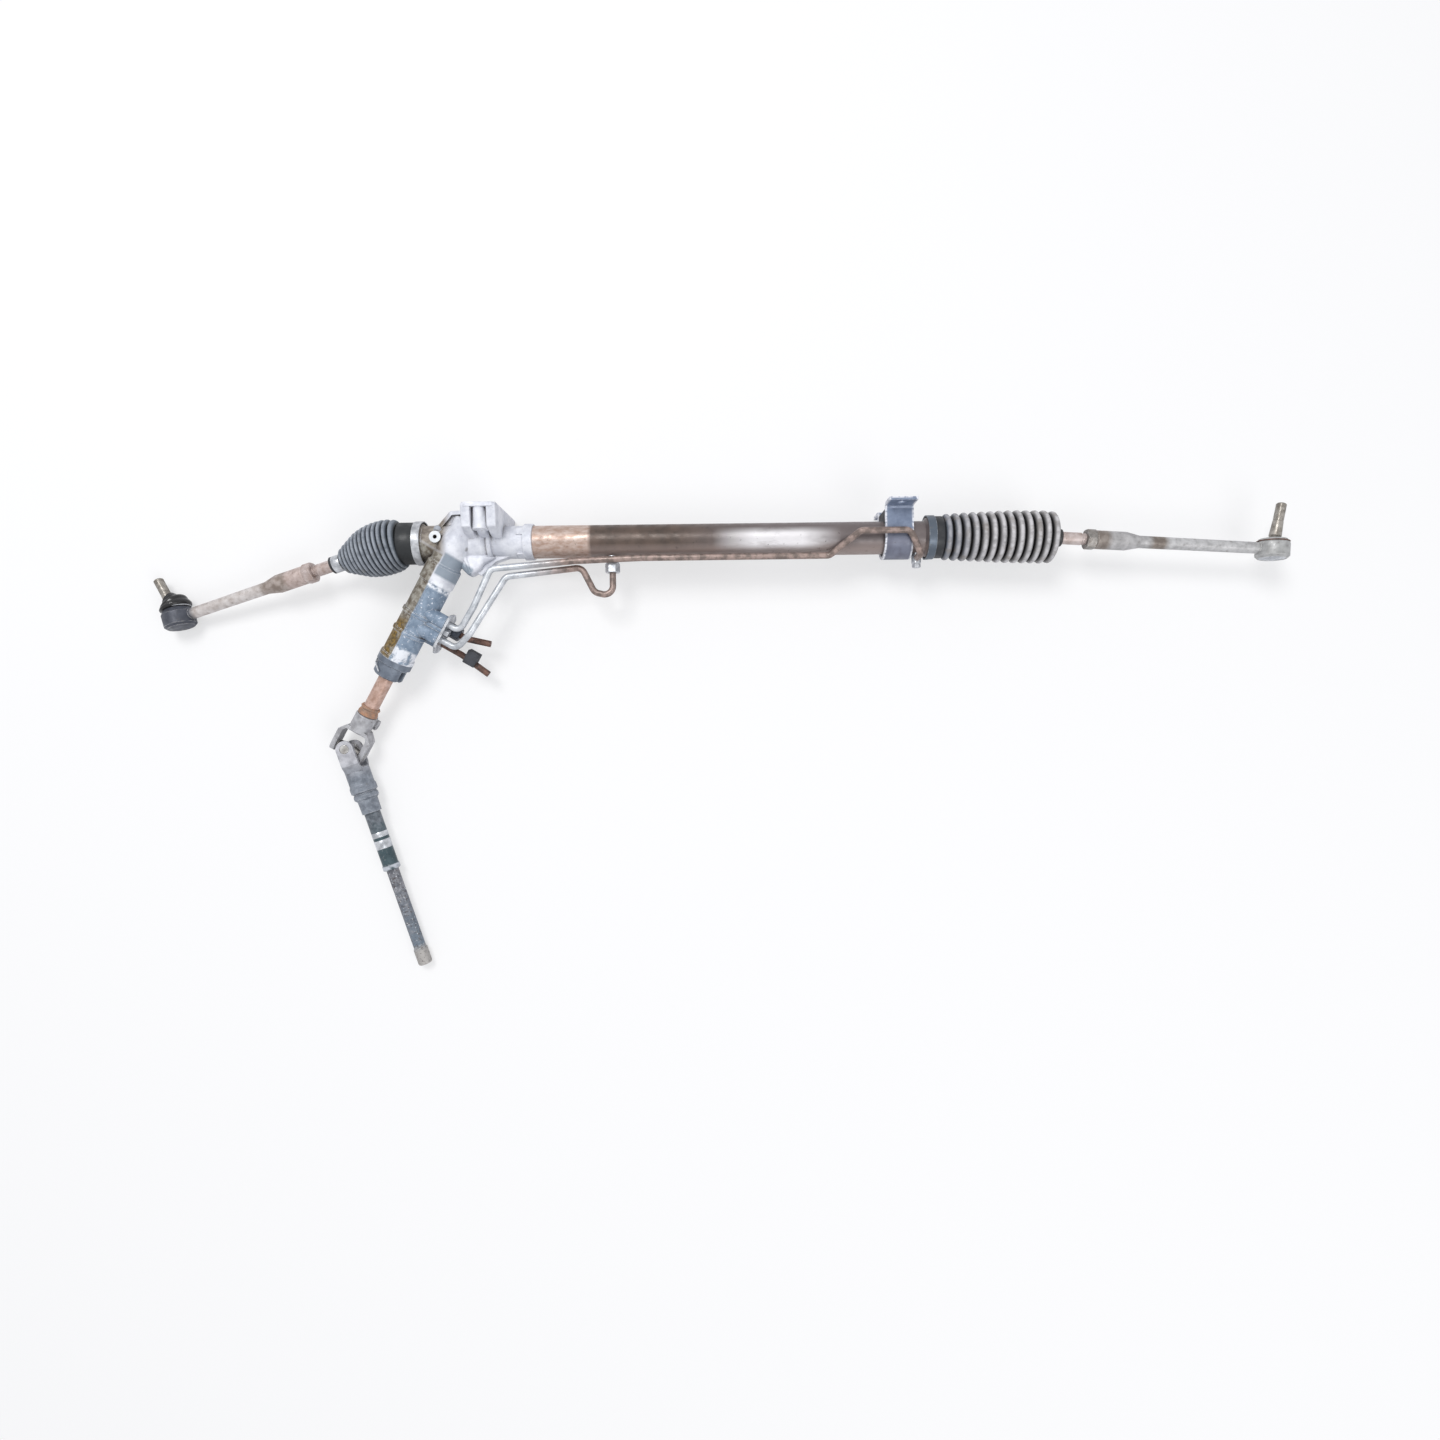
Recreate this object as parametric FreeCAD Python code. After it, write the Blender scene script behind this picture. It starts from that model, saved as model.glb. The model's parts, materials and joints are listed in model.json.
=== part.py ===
import FreeCAD, Part
import math
import os

# Power-assisted rack-and-pinion steering gear, lying on its back as it was taken off a vehicle,
# with both tie rods and the lower column shaft still on it.
# Millimetres. +X runs along the rack from the pinion side to the far side, +Y points at the
# crossmember that the gear bolts to, +Z is up when the gear lies down.
# The origin is the middle of the two housing bolt holes, on the mounting face.

V = FreeCAD.Vector

# Mounting
MOUNT_Y = 40.0            # rack axis to mounting face
BOLT_SPACING = 84.0       # between the two bolts of each mount
BOLT_HOLE_R = 5.5         # clearance hole for an M10 bolt
FOOT_Z = 56.0             # rack axis to the outer edge of the mounting feet

# Rack and its travel
RACK_R = 13.0
RACK_LEFT_BALL_X = -121.6
RACK_RIGHT_BALL_X = 699.0
RACK_END_GAP = 20.0       # ball centre to the end face of the rack bar
RUN_GAP = 0.06            # radial clearance of running fits
SEAT_GAP = 0.05           # radial clearance of pressed or pushed-in pieces

# Teeth
TOOTH_MODULE = 1.6
PINION_TEETH = 8
PRESSURE_ANGLE = math.radians(25.0)
ADDENDUM = 0.7            # in modules
ROOT_CLEARANCE = 0.25     # in modules
BACKLASH = 0.10           # taken off each flank
RACK_TOOTH_TIP = 9.5      # tooth tips above the rack axis
GROOVES_LEFT = 10
GROOVES_RIGHT = 19
PINION_TOOTH_LENGTH = 32.0

# Pinion axis
CROSS_X = -38.0           # where the pinion crosses the rack
PINION_LEAN = math.radians(30.9)
GEARBOX_ROLL = math.radians(9.94)

# Housing casting
NECK_END_X = -93.0
NECK_R = 22.5
BOOT_LAND_R = 25.0
SOCKET_BORE_R = 18.5
SOCKET_BORE_END_X = -54.4
BARREL_R = 24.0
SPOUT_R = 21.0
SPOUT_END_X = 50.0
RACK_BORE_R = 14.0
BUSH_WALL = 3.0
BUSH_SPAN = (48.0, 61.0)
TOWER_R = 21.0
TOWER_END = 172.0
TOWER_TAIL = -31.0
TAIL_R = 16.0
VALVE_BORE_R = 15.0
VALVE_BORE_START = 30.0
PINION_BORE_R = 10.5
TAIL_BORE_START = -27.0
BAND_START = 34.0
BAND_END = 60.0
RING_RIBS = (105.0, 132.5)
RING_RIB_WIDTH = 4.0
RING_RIB_RISE = 1.6
YOKE_R = 16.0
YOKE_BOSS_R = 22.0
YOKE_BOSS_END = -44.0

# Mounting ear on the housing
EAR_HALF_WIDTH = 21.5
EAR_RIB = 9.0
EAR_PAD = 5.5
EAR_BOSS_R = 10.0
EAR_RIB_TOP = 54.0

# Valve tower fittings
CAP_LENGTH = 27.0
CAP_STEP = 1.5
CLIP_WIRE_R = 1.1
PORT_ROW = 9.0            # port rows above and below the pinion axis
PORT_SPOTS = ((97.0, 1.0), (119.0, 1.0), (105.0, -1.0), (127.0, -1.0))
PORT_FACE = 38.0
PORT_BOSS_R = 9.5
PORT_PLATE = 3.0
PORT_HOLE_R = 4.4
PLATE_SPAN = (84.0, 141.0)
PLATE_HALF_HEIGHT = 18.0
PLATE_BOLT_SPOT = (108.0, 8.0)
PLATE_BOLT_R = 3.0
PLATE_BOLT_DEPTH = 12.0
PRESSURE_RUN = V(31, -7, -3)
PRESSURE_BEND = 10.0
RETURN_RUN = V(34, -26, -6)
RETURN_BEND = 30.0

# Steel cylinder tube
TUBE_R = 21.0
TUBE_BORE_R = 18.0
TUBE_END_X = 582.0
TUBE_LIP_X = TUBE_END_X - 19.0
FAR_SEAL_SPAN = (TUBE_END_X - 21.0, TUBE_END_X - 15.0)
NEAR_SEAL_WIDTH = 8.0
SPIGOT_END_X = 62.0
COLLAR_START_X = 47.0
COLLAR_END_X = 59.0
COLLAR_R = 23.5
PISTON_X = 360.0
PISTON_WIDTH = 22.0
NEAR_PORT_X = 160.0
FAR_PORT_X = TUBE_END_X - 27.5
PORT_TUBE_R = 8.0
FAR_BANJO_R = 6.2
PIPE_R = 4.2

# Far mount
STRAP_X = TUBE_END_X - 54.0
STRAP_WIDTH = 36.0
STRAP_THICK = 4.0
BUSH_R = 24.0

# Column side
INPUT_R = 9.75
INPUT_BORE_R = 4.6
TORSION_R = 4.0
TORSION_SPAN = (42.0, 218.0)
TORSION_HEAD = 20.0
JOINT_REACH = 312.0       # rack crossing to the centre of the universal joint
YOKE_EAR_IN = 16.5
YOKE_EAR_OUT = 22.5
YOKE_EAR_R = 11.0
HUB_REACH = 27.0
UPPER_HUB = 26.0
LOWER_HUB = 30.0
COLLAR_GAP = 1.0          # dust collar to the upper yoke
CAP_PIN_R = 6.0
TRUNNION_R = 4.0
SHAFT_DIR = V(0.304, -0.951, -0.050)
SHAFT_TUBE_R = 10.4
SHAFT_TUBE_END = 171.0
SHAFT_END = 307.0
SLIDER_R = 8.0
SLIDER_FLAT = 6.6
SPLINE_R = 8.8
SPLINE_LENGTH = 24.0

# Tie rods
BALL_R = 12.0
LINER = 2.4
SOCKET_R = 17.0
SOCKET_LIP = 6.0
NECK_OF_BALL_R = 6.0
ROD_R = 8.0
THREAD_R = 7.0
TIE_LENGTH = 319.5        # inner to outer ball centre
LOCK_NUT_LENGTH = 12.0
INNER_SEAT_SPAN = (-7.0, 4.0)
OUTER_SEAT_SPAN = (-9.9, 4.5)
OUTER_SEAT_HOLD = 5.0     # how far below its centre the outer ball is held
THROAT_GAP = 0.4          # ball to the lip of its joint
END_SOCKET_R = 12.0
END_SOCKET_LENGTH = 48.0
ENGAGED = 30.0
ARM_R = 8.0
JOINT_R = 20.0
JOINT_TOP = 12.0
JOINT_BOTTOM = -13.0
OUTER_BALL_R = 11.5
TAPER_START = 17.0
TAPER_END = 36.0
TAPER_BIG_R = 7.5
TAPER_SMALL_R = 6.4
STUD_END = 60.0
STUD_R = 6.0

SIDES = {
    "left": {"out": -1, "ball_x": RACK_LEFT_BALL_X, "swing": 16.2, "droop": 6.43, "rod_reach": 129.5,
             "stud_tilt": 13.7, "cuff_x": NECK_END_X + 10.0, "mouth_x": NECK_END_X - 20.5, "grip": 74.5,
             "crests": (31.0, 35.5, 33.0, 20.0)},
    "right": {"out": 1, "ball_x": RACK_RIGHT_BALL_X, "swing": 3.6, "droop": 0.0, "rod_reach": 87.5,
              "stud_tilt": 8.6, "cuff_x": TUBE_END_X - 16.0, "mouth_x": TUBE_END_X + 4.5, "grip": 34.5,
              "crests": (30.0, 33.0, 34.0, 33.0)},
}
BELLOWS_FOLDS = 13
BELLOWS_WALL = 2.0
BELLOWS_DEPTH = 7.0
CUFF_R = BOOT_LAND_R + BELLOWS_WALL
CLAMP_THICK = 1.2
CLAMP_WIDTH = 10.0
BOOT_NECK = 9.0
FOLD_LAP = 0.6            # how far each fold runs into the next, so that they join
CHAMBER_R = 20.0          # room in the bellows for the ball socket


def frame_at(origin, z_dir, y_hint):
    """Placement with +Z along z_dir and +Y as near y_hint as it can be."""
    z = V(z_dir).normalize()
    x = V(y_hint).cross(z).normalize()
    y = z.cross(x)
    return FreeCAD.Placement(FreeCAD.Matrix(x.x, y.x, z.x, origin.x, x.y, y.y, z.y, origin.y,
                                            x.z, y.z, z.z, origin.z, 0, 0, 0, 1))


def put(shape, place):
    moved = shape.copy()
    moved.Placement = place.multiply(moved.Placement)
    return moved


def lathe(outline):
    """Solid turned about local Z from (radius, height) points."""
    ring = [V(r, 0, z) for r, z in outline]
    face = Part.Face(Part.makePolygon(ring + [ring[0]]))
    return face.revolve(V(0, 0, 0), V(0, 0, 1), 360)


def rod(radius, z0, z1, bore=0.0, edge=0.0):
    """Round bar or ring along local Z, with both outer edges chamfered by edge."""
    outline = [(bore, z0), (radius - edge, z0)]
    if edge:
        outline.append((radius, z0 + edge))
        outline.append((radius, z1 - edge))
    else:
        outline.append((radius, z0))
    outline.append((radius - edge, z1))
    outline.append((bore, z1))
    return lathe(outline)


def ball(radius):
    return Part.makeSphere(radius)


def block(x0, x1, y0, y1, z0, z1):
    return Part.makeBox(x1 - x0, y1 - y0, z1 - z0, V(x0, y0, z0))


def prism(outline, z0, z1):
    """Flat outline in local XY, pulled from z0 to z1."""
    ring = [V(x, y, z0) for x, y in outline]
    return Part.Face(Part.makePolygon(ring + [ring[0]])).extrude(V(0, 0, z1 - z0))


def hexagon(across_flats, z0, z1, bore=0.0):
    corner = across_flats / math.sqrt(3)
    outline = [(corner * math.cos(math.pi / 3 * i), corner * math.sin(math.pi / 3 * i))
               for i in range(6)]
    solid = prism(outline, z0, z1).common(rod(corner * 0.97, z0, z1, edge=corner * 0.08))
    if bore:
        solid = solid.cut(rod(bore, z0 - 1, z1 + 1))
    return solid


def fused(first, *others):
    return first.fuse(list(others)).removeSplitter()


def bent_path(points, bend):
    """Straight runs joined by tangent arcs of one bend radius."""
    edges = []
    start = points[0]
    for before, corner, after in zip(points, points[1:], points[2:]):
        back = (before - corner).normalize()
        on = (after - corner).normalize()
        half = (math.pi - back.getAngle(on)) / 2
        reach = bend * math.tan(half)
        leave = corner + back * reach
        meet = corner + on * reach
        inward = (back + on).normalize()
        middle = corner + inward * (bend / math.cos(half) - bend)
        edges.append(Part.LineSegment(start, leave).toShape())
        edges.append(Part.Arc(leave, middle, meet).toShape())
        start = meet
    edges.append(Part.LineSegment(start, points[-1]).toShape())
    return Part.Wire(edges)


def bent_tube(points, bend, radius):
    path = bent_path(points, bend)
    first = (points[1] - points[0]).normalize()
    circle = Part.Wire(Part.makeCircle(radius, points[0], first))
    return path.makePipe(Part.Face(circle))


# Frames that the groups are built in
ALONG_RACK = frame_at(V(0, 0, 0), V(1, 0, 0), V(0, 1, 0))
ALONG_RACK_YZ = FreeCAD.Placement(V(0, 0, 0), FreeCAD.Rotation(V(1, 1, 1), 120))
ROLLED = FreeCAD.Rotation(V(1, 0, 0), math.degrees(GEARBOX_ROLL))
GEARBOX = FreeCAD.Placement(V(CROSS_X, 0, 0), ROLLED)
PITCH_R = TOOTH_MODULE * PINION_TEETH / 2
PINION_HEIGHT = RACK_TOOTH_TIP - ADDENDUM * TOOTH_MODULE + PITCH_R
ALONG_PINION = V(-math.sin(PINION_LEAN), -math.cos(PINION_LEAN), 0)
PINION_LOCAL = frame_at(V(0, 0, PINION_HEIGHT), ALONG_PINION, V(0, 0, 1))
PINION = GEARBOX.multiply(PINION_LOCAL)
PINION_DIR = PINION.Rotation.multVec(V(0, 0, 1))
PINION_SIDE = PINION.Rotation.multVec(V(1, 0, 0))
JOINT_CENTRE = PINION.multVec(V(0, 0, JOINT_REACH))
SHAFT_AXIS = V(SHAFT_DIR).normalize()
UPPER_PIN_DIR = PINION_SIDE
LOWER_PIN_DIR = UPPER_PIN_DIR.cross(SHAFT_AXIS).normalize()
SHAFT = frame_at(JOINT_CENTRE, SHAFT_AXIS, LOWER_PIN_DIR)


def tie_direction(side):
    swing = math.radians(side["swing"])
    droop = math.radians(side["droop"])
    return V(side["out"] * math.cos(droop) * math.cos(swing), -math.cos(droop) * math.sin(swing),
             -math.sin(droop))


for _side in SIDES.values():
    _side["centre"] = V(_side["ball_x"], 0, 0)
    _side["dir"] = tie_direction(_side)
    _side["tie"] = frame_at(_side["centre"], _side["dir"], V(0, 1, 0))
    _outer = _side["tie"].multVec(V(0, 0, TIE_LENGTH))
    _up = _side["tie"].Rotation.multVec(V(0, 1, 0))
    _side["outer"] = _outer
    _side["up"] = _up
    _side["joint"] = frame_at(_outer, _up, _up.cross(_side["dir"]))
    _tilt = math.radians(_side["stud_tilt"])
    _side["stud_dir"] = _up * math.cos(_tilt) + _side["dir"] * math.sin(_tilt)
    _side["stud"] = frame_at(_outer, _side["stud_dir"], _up.cross(_side["dir"]))


def rack_bore_cut():
    return put(rod(RACK_BORE_R, SOCKET_BORE_END_X - 1, SPIGOT_END_X + 1), ALONG_RACK)


def housing_barrel():
    land = NECK_END_X + 9
    outline = [(0, NECK_END_X), (BOOT_LAND_R - 1.5, NECK_END_X), (BOOT_LAND_R, NECK_END_X + 1.5),
               (BOOT_LAND_R, land), (NECK_R, land + 2), (NECK_R, -52), (BARREL_R, -44), (BARREL_R, -6),
               (SPOUT_R, 0), (SPOUT_R, 1), (BARREL_R + 1.5, 2), (BARREL_R + 1.5, 6.5), (SPOUT_R, 8),
               (SPOUT_R, SPOUT_END_X), (TUBE_BORE_R - SEAT_GAP, SPOUT_END_X),
               (TUBE_BORE_R - SEAT_GAP, SPIGOT_END_X), (0, SPIGOT_END_X)]
    return put(lathe(outline), ALONG_RACK)


def housing_tower():
    outline = [(0, TOWER_TAIL), (TAIL_R - 2, TOWER_TAIL), (TAIL_R, TOWER_TAIL + 2), (TAIL_R, -12),
               (TOWER_R - 1, 0), (TOWER_R - 1, BAND_START - 3), (TOWER_R + 1.5, BAND_START),
               (TOWER_R + 1.5, BAND_END - 2), (TOWER_R, BAND_END)]
    for at in RING_RIBS:
        half = RING_RIB_WIDTH / 2
        outline += [(TOWER_R, at - half - 1), (TOWER_R + RING_RIB_RISE, at - half),
                    (TOWER_R + RING_RIB_RISE, at + half), (TOWER_R, at + half + 1)]
    outline += [(TOWER_R, TOWER_END - 6), (TOWER_R + RING_RIB_RISE, TOWER_END - 5),
                (TOWER_R + RING_RIB_RISE, TOWER_END), (0, TOWER_END)]
    return put(lathe(outline), PINION)


def housing_ports():
    bosses = []
    for along, row in PORT_SPOTS:
        boss = rod(PORT_BOSS_R, 6, PORT_FACE, edge=1.2)
        spot = frame_at(V(0, row * PORT_ROW, along), V(1, 0, 0), V(0, 1, 0))
        bosses.append(put(boss, PINION.multiply(spot)))
    bosses.append(put(rod(2 * PLATE_BOLT_R, 6 - PORT_FACE, 0), port_frame(PORT_FACE, *PLATE_BOLT_SPOT)))
    return bosses


def housing_ear():
    half = BOLT_SPACING / 2
    pad = block(-EAR_HALF_WIDTH, EAR_HALF_WIDTH, MOUNT_Y - EAR_PAD, MOUNT_Y, -FOOT_Z, FOOT_Z)
    upright = [e for e in pad.Edges if abs(e.tangentAt(e.FirstParameter).y) > 0.9]
    pieces = [pad.makeFillet(6.0, upright)]
    for side in (-1, 1):
        outer = side * EAR_HALF_WIDTH
        inner = side * (EAR_HALF_WIDTH - EAR_RIB)
        outline = [(10, -40), (MOUNT_Y - 1, -EAR_RIB_TOP), (MOUNT_Y - 1, EAR_RIB_TOP),
                   (10, EAR_RIB_TOP - 4), (4, 30), (0, 0)]
        rib = prism(outline, min(outer, inner), max(outer, inner))
        pieces.append(put(rib, ALONG_RACK_YZ))
        boss = Part.makeCylinder(EAR_BOSS_R, MOUNT_Y - 9, V(0, 8, side * half), V(0, 1, 0))
        pieces.append(boss)
    pieces.append(block(-EAR_HALF_WIDTH + 1, EAR_HALF_WIDTH - 1, 6, MOUNT_Y - 1, -7, 7))
    return pieces


def housing_webs():
    """Flat stiffening webs: ear to neck, and tower to spout."""
    neck_web = prism([(-72, 2), (-46, MOUNT_Y - 3), (-20, MOUNT_Y - 1), (-20, 0)], -8, 8)
    lip = prism([(-74, 8), (-47, MOUNT_Y - 1), (-20, MOUNT_Y), (-20, MOUNT_Y - 5), (-45, MOUNT_Y - 6),
                 (-70, 4)], -12, 12)
    inner_web = prism([(0, -6), (38, -16), (10, -26), (-8, -44), (-24, -36)], -6, 8)
    return [neck_web, lip, inner_web]


def pinion_housing():
    yoke_boss = put(rod(YOKE_BOSS_R, YOKE_BOSS_END, 0, edge=1.5), GEARBOX)
    vent_boss = Part.makeCylinder(7.5, 24, V(-62, 3, 4), V(0, 0, 1))
    vent_dome = Part.makeSphere(5.5, V(-62, 15, 15))
    solid = fused(housing_barrel(), housing_tower(), yoke_boss, vent_boss, vent_dome,
                  *housing_ports(), *housing_ear(), *housing_webs())
    bolt = BOLT_SPACING / 2
    holes = [Part.makeCylinder(BOLT_HOLE_R, MOUNT_Y, V(0, 2, side * bolt), V(0, 1, 0))
             for side in (-1, 1)]
    valve_bore = put(rod(VALVE_BORE_R, VALVE_BORE_START, TOWER_END + 1), PINION)
    pinion_bore = put(rod(PINION_BORE_R, TAIL_BORE_START, VALVE_BORE_START + 1), PINION)
    yoke_bore = put(rod(YOKE_R + SEAT_GAP, YOKE_BOSS_END - 1, -2), GEARBOX)
    socket_bore = put(rod(SOCKET_BORE_R, NECK_END_X - 1, SOCKET_BORE_END_X), ALONG_RACK)
    bush_bore = put(rod(RACK_R + BUSH_WALL, BUSH_SPAN[0], SPIGOT_END_X + 1), ALONG_RACK)
    vent_hole = Part.makeCylinder(2.6, 14, V(-62, 3, 17), V(0, 0, 1))
    screw_hole = put(rod(PLATE_BOLT_R, -PLATE_BOLT_DEPTH - 1, 1), port_frame(PORT_FACE, *PLATE_BOLT_SPOT))
    cuts = [rack_bore_cut(), valve_bore, pinion_bore, yoke_bore, socket_bore, bush_bore, vent_hole,
            screw_hole]
    for along, row in PORT_SPOTS:
        spot = frame_at(V(0, row * PORT_ROW, along), V(1, 0, 0), V(0, 1, 0))
        cuts.append(put(rod(PORT_HOLE_R, 8, PORT_FACE + 1), PINION.multiply(spot)))
    return solid.cut(cuts + holes)


def valve_end_cap():
    outer = TOWER_R + RING_RIB_RISE
    end = TOWER_END + CAP_LENGTH
    outline = [(INPUT_R + 0.6, TOWER_END - 6), (VALVE_BORE_R - SEAT_GAP, TOWER_END - 6),
               (VALVE_BORE_R - SEAT_GAP, TOWER_END), (outer, TOWER_END), (outer, TOWER_END + 8),
               (TOWER_R - CAP_STEP, TOWER_END + 9.5), (TOWER_R - CAP_STEP, end - 2),
               (TOWER_R - CAP_STEP - 2, end),
               (14, end), (14, end - 7), (INPUT_R + 0.6, end - 7)]
    cap = lathe(outline)
    notch = block(TOWER_R - 7, TOWER_R + 3, 2, 10, TOWER_END + 11, end + 1)
    return put(cap.cut(notch), PINION)


def valve_cap_clip():
    """Round wire hooked over the cap to hold it in the tower."""
    corner_r = (TOWER_R - CAP_STEP + CLIP_WIRE_R + 0.2) / math.cos(math.radians(17.5))
    path = []
    for turn, rise in ((110, 21), (145, 15), (180, 12), (215, 15), (250, 21)):
        angle = math.radians(turn)
        path.append(V(corner_r * math.cos(angle), corner_r * math.sin(angle), TOWER_END + rise))
    return put(bent_tube(path, 5.0, CLIP_WIRE_R), PINION)


def pinion_bearings():
    lower = rod(PINION_BORE_R, -26, -18, bore=6 + RUN_GAP)
    upper = rod(VALVE_BORE_R, VALVE_BORE_START, VALVE_BORE_START + 11, bore=8 + RUN_GAP)
    outer = rod(VALVE_BORE_R, 152, 164, bore=INPUT_R + RUN_GAP)
    return Part.makeCompound([put(ring, PINION) for ring in (lower, upper, outer)])


def input_seal():
    end = TOWER_END + CAP_LENGTH
    outline = [(INPUT_R + RUN_GAP, end - 5), (14, end - 7), (14, end), (12.5, end),
               (12.5, end - 3), (INPUT_R + RUN_GAP, end - 3)]
    return put(lathe(outline), PINION)


def tooth_cutter():
    """Trapezoid space between two rack teeth, along the pinion axis."""
    pitch_line = RACK_TOOTH_TIP - ADDENDUM * TOOTH_MODULE
    root = pitch_line - (ADDENDUM + ROOT_CLEARANCE) * TOOTH_MODULE
    top = RACK_TOOTH_TIP + 2
    half = math.pi * TOOTH_MODULE / 4 + BACKLASH / 2

    def width(height):
        return half + (height - pitch_line) * math.tan(PRESSURE_ANGLE)

    outline = [(-width(root), root), (width(root), root), (width(top), top), (-width(top), top)]
    reach = RACK_R * 1.6
    return put(prism(outline, -reach, reach), frame_at(V(0, 0, 0), ALONG_PINION, V(0, 0, 1)))


def rack_bar():
    left = RACK_LEFT_BALL_X + RACK_END_GAP
    right = RACK_RIGHT_BALL_X - RACK_END_GAP
    bar = put(rod(RACK_R, left, right, edge=0.8), ALONG_RACK)
    step = math.pi * TOOTH_MODULE / math.cos(PINION_LEAN)
    x0 = -(GROOVES_LEFT + 0.5) * step
    x1 = (GROOVES_RIGHT + 0.5) * step
    flat = put(block(x0, x1, -RACK_R, RACK_R, RACK_TOOTH_TIP, RACK_R + 1), GEARBOX)
    cutter = tooth_cutter()
    spaces = []
    for index in range(-GROOVES_LEFT, GROOVES_RIGHT + 1):
        shifted = cutter.translated(V(index * step, 0, 0))
        spaces.append(put(shifted, GEARBOX))
    return bar.cut([flat] + spaces)


def rack_yoke():
    slug = put(rod(YOKE_R, -25, -3, edge=0.6), GEARBOX)
    return slug.cut(put(rod(RACK_R + RUN_GAP, -120, 60), ALONG_RACK))


def yoke_spring():
    """Pair of cone springs, set back to back between the slipper and its plug."""
    rim = YOKE_R - 1
    upper = [(8, -26.6), (rim, -25.0), (rim, -26.2), (8, -27.8)]
    lower = [(8, -27.8), (rim, -29.4), (rim, -30.6), (8, -29.0)]
    return put(Part.makeCompound([lathe(upper), lathe(lower)]), GEARBOX)


def yoke_plug():
    plug = rod(YOKE_R, -48, -30.6, edge=0.8)
    socket = hexagon(17, -49, -41)
    return put(plug.cut(socket), GEARBOX)


def yoke_lock_nut():
    return put(hexagon(36, YOKE_BOSS_END - 6, YOKE_BOSS_END, bore=YOKE_R), GEARBOX)


def rack_bush():
    start, end = BUSH_SPAN
    return put(rod(RACK_R + BUSH_WALL, start, end, bore=RACK_R + RUN_GAP), ALONG_RACK)


def rack_tube():
    outline = [(TUBE_BORE_R, SPOUT_END_X), (TUBE_R, SPOUT_END_X), (TUBE_R, TUBE_LIP_X),
               (BOOT_LAND_R, TUBE_LIP_X + 3), (BOOT_LAND_R, TUBE_END_X - 1.5),
               (BOOT_LAND_R - 1.5, TUBE_END_X), (TUBE_BORE_R, TUBE_END_X)]
    tube = put(lathe(outline), ALONG_RACK)
    drills = [Part.makeCylinder(3.0, 12, V(x, -TUBE_R + 9, 0), V(0, -1, 0))
              for x in (NEAR_PORT_X, FAR_PORT_X)]
    return tube.cut(drills)


def tube_collar():
    ring = rod(COLLAR_R, COLLAR_START_X, COLLAR_END_X, bore=SPOUT_R, edge=0.8)
    fingers = []
    for angle in (62, 152, 242, 332):
        finger = block(SPOUT_R - 3, COLLAR_R - 0.6, -5, 5, COLLAR_START_X - 8, COLLAR_START_X + 2)
        finger = finger.cut(rod(SPOUT_R, COLLAR_START_X - 12, COLLAR_START_X + 4))
        finger.rotate(V(0, 0, 0), V(0, 0, 1), angle)
        fingers.append(finger)
    return put(fused(ring, *fingers), ALONG_RACK)


def rack_seals():
    inner = rod(TUBE_BORE_R, SPIGOT_END_X, SPIGOT_END_X + NEAR_SEAL_WIDTH, bore=RACK_R + RUN_GAP)
    outer = rod(TUBE_BORE_R, *FAR_SEAL_SPAN, bore=RACK_R + RUN_GAP)
    return Part.makeCompound([put(inner, ALONG_RACK), put(outer, ALONG_RACK)])


def end_bush():
    return put(rod(TUBE_BORE_R, FAR_SEAL_SPAN[1], TUBE_END_X, bore=RACK_R + RUN_GAP), ALONG_RACK)


def rack_piston():
    half = PISTON_WIDTH / 2
    outline = [(RACK_R, -half), (TUBE_BORE_R - 0.5, -half), (TUBE_BORE_R - 0.5, -2.5),
               (TUBE_BORE_R - 2.5, -2.5), (TUBE_BORE_R - 2.5, 2.5), (TUBE_BORE_R - 0.5, 2.5),
               (TUBE_BORE_R - 0.5, half), (RACK_R, half)]
    return put(lathe(outline).translated(V(0, 0, PISTON_X)), ALONG_RACK)


def piston_ring():
    ring = rod(TUBE_BORE_R - RUN_GAP, PISTON_X - 2.4, PISTON_X + 2.4, bore=TUBE_BORE_R - 2.4)
    return put(ring, ALONG_RACK)


def pipe_ports():
    """Welded port bosses with the union nuts that hold the transfer pipes."""
    near_spot = frame_at(V(NEAR_PORT_X, 0, 0), V(0, -1, 0), V(0, 0, 1))
    far_spot = frame_at(V(FAR_PORT_X, 0, 0), V(0, -1, 0), V(0, 0, 1))
    near = fused(rod(PORT_TUBE_R, 17, 29), hexagon(17, 29, 41))
    near = put(near.cut(rod(PIPE_R + SEAT_GAP, 27, 60)), near_spot)
    far = fused(rod(FAR_BANJO_R, 17, 34, edge=0.8), hexagon(10, 34, 39))
    far = put(far.cut(rod(2.6, 16, 30)), far_spot)
    shell = put(rod(TUBE_R, NEAR_PORT_X - 60, TUBE_LIP_X - 1), ALONG_RACK)
    return Part.makeCompound([near.cut(shell), far.cut(shell)])


def port_point(index, reach):
    """Point on the axis of a valve port, reach from the pinion axis."""
    along, row = PORT_SPOTS[index]
    return PINION.multVec(V(reach, row * PORT_ROW, along))


def near_transfer_pipe():
    points = [port_point(1, PORT_FACE - 8), port_point(1, 64), V(-24, -118, 8), V(22, -45, 4),
              V(120, -34, 2), V(136, -66, 0), V(NEAR_PORT_X, -72, 0), V(NEAR_PORT_X, -29, 0)]
    return bent_tube(points, 11.0, PIPE_R)


def far_transfer_pipe():
    points = [port_point(0, PORT_FACE - 8), port_point(0, 57), V(-18, -84, 12), V(4, -36, 12),
              V(112, -27.5, 14), V(200, -24.5, 14), V(STRAP_X - 88, -24.5, 14.5), V(STRAP_X - 50, 3, 34.5),
              V(STRAP_X + 12, 3, 34.5), V(FAR_PORT_X, -27, 30), V(FAR_PORT_X, -27, FAR_BANJO_R)]
    return bent_tube(points, 10.0, PIPE_R)


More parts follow.
